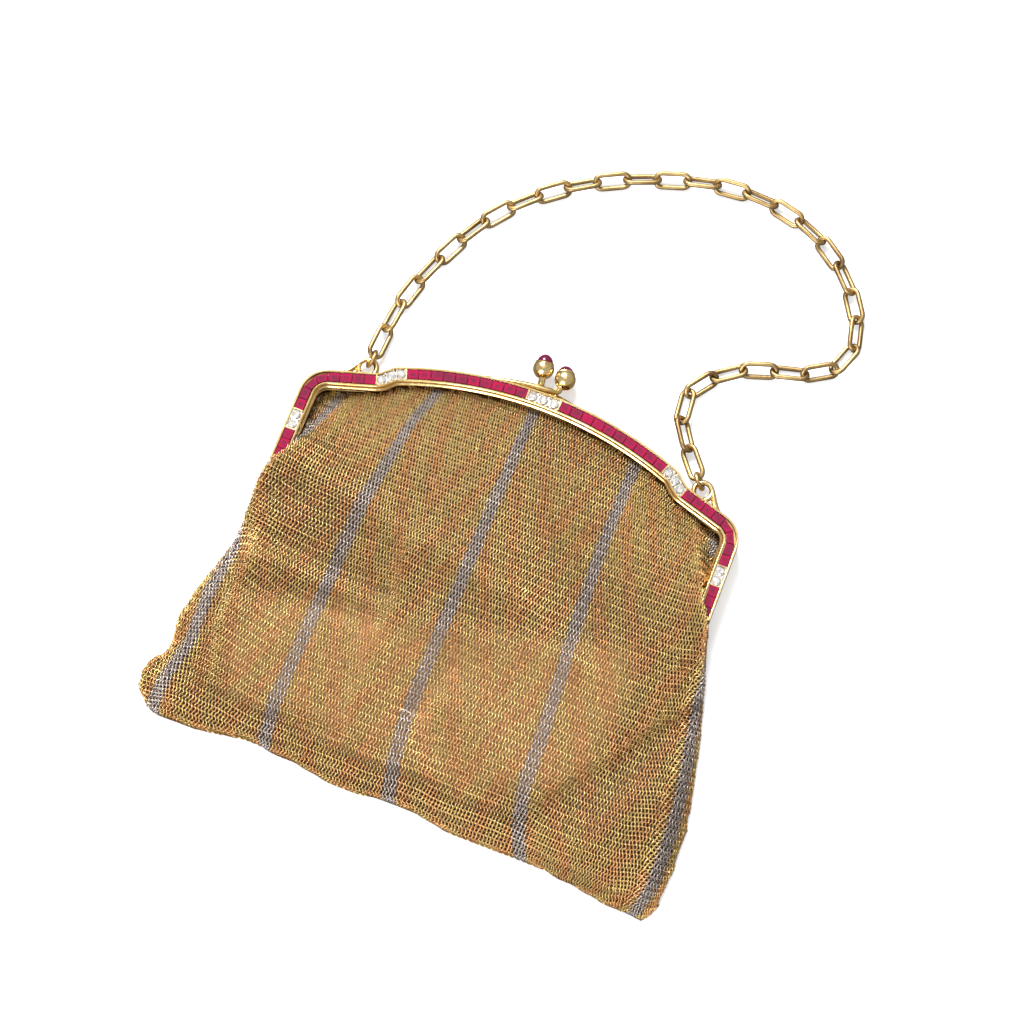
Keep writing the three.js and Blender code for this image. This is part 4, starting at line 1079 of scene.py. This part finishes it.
def column_places(level, columns):
    """Where each column of rings runs at each level, from the stripes, with the cloth laid out flat."""
    marks = np.array([s["column"] for s in STRIPES], float)
    guides = np.array([np.interp(level, s["up"][::-1], s["across"][::-1]) for s in STRIPES]).T
    first = (guides[:, 1] - guides[:, 0]) / (marks[1] - marks[0])
    last = (guides[:, -1] - guides[:, -2]) / (marks[-1] - marks[-2])
    ends_at = np.concatenate([[marks[0] - EDGE_COLUMNS], marks, [marks[-1] + EDGE_COLUMNS]])
    left = guides[:, 0] - first * EDGE_COLUMNS
    right = guides[:, -1] + last * EDGE_COLUMNS
    ends = np.column_stack([left, guides, right])
    return np.array([np.interp(columns, ends_at, row) for row in ends])


def even_steps(line, pitch, rows):
    """A column's places, one pitch apart along the cloth below the part that the frame gathers."""
    gathered, spare_mm = 28, 0.1
    lengths = np.linalg.norm(np.diff(line[:, :3], axis=0), axis=1)
    distance = np.concatenate([[0.0], np.cumsum(lengths)])
    start = distance[gathered]
    wanted = np.concatenate([distance[:gathered:2], start + pitch * np.arange(rows - gathered // 2)])
    flat = np.column_stack([np.interp(wanted, distance, line[:, i]) for i in range(line.shape[1])])
    flat[wanted > distance[-1] + spare_mm, 3:] = 1.0
    return flat


def unit(vectors):
    """Vectors of length one."""
    return vectors / np.maximum(np.linalg.norm(vectors, axis=-1, keepdims=True), 1e-9)


def ring_shape(radius, wire, steps, sides):
    """Corners and faces of one ring, its axis along Z."""
    bm = bmesh.new()
    at = Matrix.Translation((radius, 0, 0)) @ Matrix.Rotation(math.pi / 2, 4, "X")
    section = bmesh.ops.create_circle(bm, segments=sides, radius=wire, matrix=at)["verts"]
    edges = list({edge for vert in section for edge in vert.link_edges})
    bmesh.ops.spin(bm, geom=section + edges, cent=(0, 0, 0), axis=(0, 0, 1), angle=2 * math.pi, steps=steps,
                   use_merge=True)
    bmesh.ops.remove_doubles(bm, verts=bm.verts[:], dist=1e-5)
    bmesh.ops.recalc_face_normals(bm, faces=bm.faces[:])
    bm.verts.index_update()
    corners = np.array([v.co for v in bm.verts])
    faces = np.array([[v.index for v in face.verts] for face in bm.faces])
    bm.free()
    return corners, faces


def ring_piece(name, centres, axes, tones, shape, material):
    """One mesh of many rings. Each has its own cell of the map that a bake uses."""
    corners, faces = shape
    count = len(centres)
    points = centres[:, None, :] + np.einsum("vc,nci->nvi", corners, axes)
    loops = (faces[None] + (np.arange(count) * len(corners))[:, None, None]).reshape(-1)
    mesh = bpy.data.meshes.new(name)
    mesh.vertices.add(count * len(corners))
    mesh.vertices.foreach_set("co", (points * MM).astype(np.float32).ravel())
    mesh.loops.add(len(loops))
    mesh.loops.foreach_set("vertex_index", loops.astype(np.int32))
    mesh.polygons.add(count * len(faces))
    mesh.polygons.foreach_set("loop_start", np.arange(0, len(loops), 4, dtype=np.int32))
    mesh.update(calc_edges=True)
    mesh.validate()
    mesh.polygons.foreach_set("use_smooth", np.ones(len(mesh.polygons), bool))
    # ring_tone: each ring's tone by chance, with painted light along the hem and painted shade by the arch
    tone = mesh.attributes.new("ring_tone", "FLOAT", "POINT")
    tone.data.foreach_set("value", np.repeat(tones, len(corners)).astype(np.float32))
    side = math.ceil(math.sqrt(count))
    inner = math.ceil(math.sqrt(len(faces)))
    cell = np.arange(count)
    spot = np.arange(len(faces))
    square = np.array([[0.1, 0.1], [0.9, 0.1], [0.9, 0.9], [0.1, 0.9]])
    ring_corner = np.stack([cell % side, cell // side], -1)[:, None, None, :]
    face_corner = np.stack([spot % inner, spot // inner], -1)[None, :, None, :]
    uv = (ring_corner + (face_corner + square[None, None]) / inner) / side
    mesh.uv_layers.new(name="OFBake").data.foreach_set("uv", uv.astype(np.float32).ravel())
    return place_piece(mesh, name, material, ["mesh_bag"])


def in_corner_stripe(points):
    """Rings that lie on the outer stripes where the corners of the frame gather them."""
    half_mm = 1.4
    x, y = points[..., 0], points[..., 1]
    found = np.zeros(x.shape, bool)
    for (x0, y0), (x1, y1) in CORNER_STRIPES:
        line = x0 + (y - y0) * (x1 - x0) / (y1 - y0)
        found |= (np.abs(x - line) < half_mm) & (y > y1)
    return found


def alloys(columns, rows, chance):
    """Which gold each ring is: 0 green and 1 rose in nested chevrons, 2 white in the stripes."""
    stripe_from, stripe_to = -2, 1
    before_first, past_last = 36, 44
    rise_rows, period_rows, first_row = 37.0, 18.8, 28.5
    rose_share = 0.44
    marks = np.array([s["column"] for s in STRIPES], float)
    panel = np.clip(np.searchsorted(marks, columns, side="right") - 1, -1, len(marks) - 1)
    bounds = np.concatenate([[marks[0] - before_first], marks, [marks[-1] + past_last]])
    low, high = bounds[panel + 1], bounds[panel + 2]
    share = np.abs(columns - (low + high) / 2) / ((high - low) / 2)
    row = np.arange(rows)[:, None]
    ragged = chance.normal(0.0, 0.1, (rows, len(columns)))
    phase = (row - first_row + rise_rows * share[None, :]) / period_rows + ragged
    kind = (np.mod(phase + rose_share / 2, 1.0) < rose_share).astype(int)
    offset = columns[:, None] - marks[None, :]
    kind[:, ((offset >= stripe_from) & (offset <= stripe_to)).any(1)] = ALLOYS.index("white")
    return kind


def ring_tones_with_painted_light(points, chance):
    """How bright each ring is: by chance, with painted light that brightens the rings along the hem and
    painted shade that darkens them by the arch of the frame."""
    hem_from, hem_over, arch_over = -66.0, 8.0, 14.0
    painted_hem_light, painted_arch_shade = 0.5, 0.65
    usual, spread = 0.7, 0.24
    x, y = points[..., 0], points[..., 1]
    by_hem = np.clip((hem_from - y) / hem_over, 0, 1)
    nearness = np.clip(1.0 - (inside_frame(x, y) - RAIL_EDGE) / arch_over, 0, 1)
    by_arch = np.where(y > HELD_ABOVE, nearness, 0.0)
    # Painted light along the hem, and painted shade by the arch, where the frame shades the mesh
    painted_light_and_shade = painted_hem_light * by_hem - painted_arch_shade * by_arch
    return np.clip(chance.normal(usual, spread, x.shape) + painted_light_and_shade, 0, 1)


def ring_places(lay, depth, corners, chance):
    """Centre and axes of every ring. A row leans one way and the next row the other, more where the cloth
    is drawn together, and no ring goes into the table."""
    rest_width, drawn_in, laid_flat, clear_mm = 1.36, 0.45, 0.88, 0.03
    lean_spread, place_spread = 0.09, 0.05
    odd = np.arange(lay.rows) % 2
    lean = np.arccos(np.clip(lay.pitch / rest_width, drawn_in, laid_flat))
    lean = (lean + chance.normal(0.0, lean_spread, lean.shape)) * np.where(odd, 1.0, -1.0)[:, None]
    shift = 0.5 * odd[:, None, None] * (lay.along * lay.pitch[..., None])
    centres = lay.points + shift - lay.normal * depth
    centres += chance.normal(0.0, place_spread, centres.shape)
    sine, cosine = np.sin(lean)[..., None], np.cos(lean)[..., None]
    axes = np.stack([
        lay.along * cosine - lay.normal * sine,
        lay.down,
        lay.normal * cosine + lay.along * sine,
    ], -2)
    lowest = np.einsum("vc,rkc->rkv", corners, axes[..., 2]).min(-1)
    centres[..., 2] = np.maximum(centres[..., 2], clear_mm - lowest)
    return centres, axes


class PURSE_OT_mesh(bpy.types.Operator):
    """Weaves the pouch from rings of green, rose and white gold"""

    bl_idname = "purse.mesh"
    bl_label = "Ring mesh"

    def execute(self, context):
        settings = context.scene.purse_mesh
        chance = np.random.default_rng(21)
        lay = MeshLay(settings)
        kinds = alloys(lay.columns, lay.rows, chance)
        kinds[in_corner_stripe(lay.points)] = ALLOYS.index("white")
        golds = [tuple(getattr(settings, f"{alloy}_gold")) for alloy in ALLOYS]
        self.rings(lay, kinds, golds, settings, chance)
        self.ground(lay, settings)
        self.underside(lay, kinds, golds)
        return {"FINISHED"}

    def rings(self, lay, kinds, golds, settings, chance):
        """The rings of each alloy. Green and rose, which are many, are in two pieces each."""
        sides, roughness = 3, 0.42
        # Each ring's tone by chance, plus painted light along the hem and painted shade by the arch
        tones = ring_tones_with_painted_light(lay.points, chance)
        shape = ring_shape(settings.ring_radius / MM, settings.wire_radius / MM, settings.ring_steps, sides)
        centres, axes = ring_places(lay, settings.depth / MM, shape[0], chance)
        upper = (np.arange(lay.rows) < lay.rows // 2)[:, None]
        for kind, alloy in enumerate(ALLOYS):
            wire = drawn_wire(f"drawn {alloy} gold wire", golds[kind], roughness)
            halves = {"": True} if alloy == "white" else {"_upper": upper, "_lower": ~upper}
            for part, half in halves.items():
                mask = lay.shown & (kinds == kind) & half
                ring_piece(f"rings_{alloy}{part}", centres[mask], axes[mask], tones[mask], shape, wire)

    def ground(self, lay, settings):
        """The inside behind the rings, dark with painted shade, and paler over the lower front."""
        least_mm = 0.6
        depth = (settings.depth + settings.ground_depth) / MM
        inner = (lay.points - lay.normal * depth)[::2, ::2]
        inner[..., 2] = np.maximum(inner[..., 2], least_mm)
        pale = pale_ground_share(inner[..., 0], inner[..., 1])[..., None]
        # Painted shade: the dark ground colour, blended to the paler tone over the lower front
        colours = np.array(settings.ground) * (1 - pale) + np.array(settings.insert) * pale
        bm = self.sheet(inner, lay.backed[::2, ::2], colours)
        material = mesh_ground("shaded inside of the mesh")
        finish_piece(bm, "mesh_ground", material, ["mesh_bag"], sharp=180.0)

    def underside(self, lay, kinds, golds):
        """The back of the pouch, flat on the table, with the golds of the front."""
        flat = lay.points.copy()
        flat[..., 2] = 0.4
        bm = self.sheet(flat, lay.shown, np.array(golds)[kinds])
        material = mesh_back("ring mesh underside")
        finish_piece(bm, "mesh_back", material, ["mesh_bag"], sharp=180.0)

    def sheet(self, points, shown, colours):
        """A grid of points with their colours as a sheet, without its unseen faces."""
        bm = bmesh.new()
        # 'alloy' holds the golds on the underside and the painted shade on the ground sheet
        layer = bm.verts.layers.float_color.new("alloy")
        bmesh.ops.create_grid(bm, x_segments=points.shape[1] - 1, y_segments=points.shape[0] - 1, size=1.0)
        order = sorted(bm.verts, key=lambda v: (-round(v.co.y, 6), round(v.co.x, 6)))
        for vert, point, colour in zip(order, points.reshape(-1, 3), colours.reshape(-1, 4)):
            vert.co = point
            vert[layer] = colour
        keep = dict(zip(order, shown.reshape(-1)))
        lost = [face for face in bm.faces if not any(keep[v] for v in face.verts)]
        bmesh.ops.delete(bm, geom=lost, context="FACES")
        return bm


# Stage

class PURSE_OT_stage(bpy.types.Operator):
    """Sets the floor, the soft studio light and the camera"""

    bl_idname = "purse.stage"
    bl_label = "Stage"

    def execute(self, context):
        settings = context.scene.purse_stage
        bm = bmesh.new()
        bmesh.ops.create_grid(bm, x_segments=1, y_segments=1, size=settings.floor_size / 2)
        bmesh.ops.translate(bm, vec=(0, 0, -0.02 * MM), verts=bm.verts[:])
        mesh = bpy.data.meshes.new("floor")
        bm.to_mesh(mesh)
        bm.free()
        floor = bpy.data.objects.new("floor", mesh)
        mesh.materials.append(pale_floor("matt studio paper", tuple(settings.floor), settings.glow))
        context.scene.collection.objects.link(floor)
        self.camera(context, settings)
        for lamp in LIGHTS:
            self.light(context, lamp, getattr(settings, f"{lamp['light']}_power"))
        world = bpy.data.worlds.new("studio")
        world.use_nodes = True
        background = world.node_tree.nodes["Background"]
        background.inputs["Color"].default_value = (1.0, 1.0, 1.0, 1.0)
        background.inputs["Strength"].default_value = settings.sky
        context.scene.world = world
        context.scene.view_settings.view_transform = "Standard"
        return {"FINISHED"}

    def camera(self, context, settings):
        """The camera, where the photograph was taken from."""
        turn = Matrix((CAMERA["right"], CAMERA["up"], CAMERA["back"])).transposed().to_4x4()
        lens = bpy.data.cameras.new("camera")
        lens.lens = settings.lens
        lens.sensor_width = 36.0
        lens.clip_start = 0.01
        lens.clip_end = 20.0
        camera = bpy.data.objects.new("camera", lens)
        camera.matrix_world = Matrix.Translation(CAMERA["place"]) @ turn
        context.scene.collection.objects.link(camera)
        context.scene.camera = camera

    def light(self, context, lamp, power):
        """A soft square light that faces the purse."""
        name = f"{lamp['light']}_light"
        light = bpy.data.lights.new(name, "AREA")
        light.energy = power
        light.size = lamp["size"]
        holder = bpy.data.objects.new(name, light)
        holder.location = lamp["place"]
        holder.rotation_euler = (-Vector(lamp["place"])).to_track_quat("-Z", "Y").to_euler()
        context.scene.collection.objects.link(holder)


STEPS = [PURSE_OT_stage, PURSE_OT_frame, PURSE_OT_clasp, PURSE_OT_stones, PURSE_OT_chain, PURSE_OT_mesh]


class PURSE_PT_panel(bpy.types.Panel):
    """Steps and settings of the purse"""

    bl_idname = "PURSE_PT_panel"
    bl_label = "Metal purse"
    bl_space_type = "VIEW_3D"
    bl_region_type = "UI"
    bl_category = "Purse"

    def draw(self, context):
        for step in STEPS:
            self.layout.operator(step.bl_idname)
        for name, group in SETTINGS.items():
            box = self.layout.box()
            for key in group.__annotations__:
                box.prop(getattr(context.scene, name), key)


CLASSES = [*SETTINGS.values(), *STEPS, PURSE_PT_panel]


def register():
    for cls in CLASSES:
        bpy.utils.register_class(cls)
    for name, group in SETTINGS.items():
        setattr(bpy.types.Scene, name, PointerProperty(type=group))


def unregister():
    for name in SETTINGS:
        delattr(bpy.types.Scene, name)
    for cls in reversed(CLASSES):
        bpy.utils.unregister_class(cls)


def main():
    register()
    bpy.ops.purse.stage()
    bpy.ops.purse.frame()
    bpy.ops.purse.clasp()
    bpy.ops.purse.stones()
    bpy.ops.purse.chain()
    bpy.ops.purse.mesh()


if __name__ == "__main__":
    main()
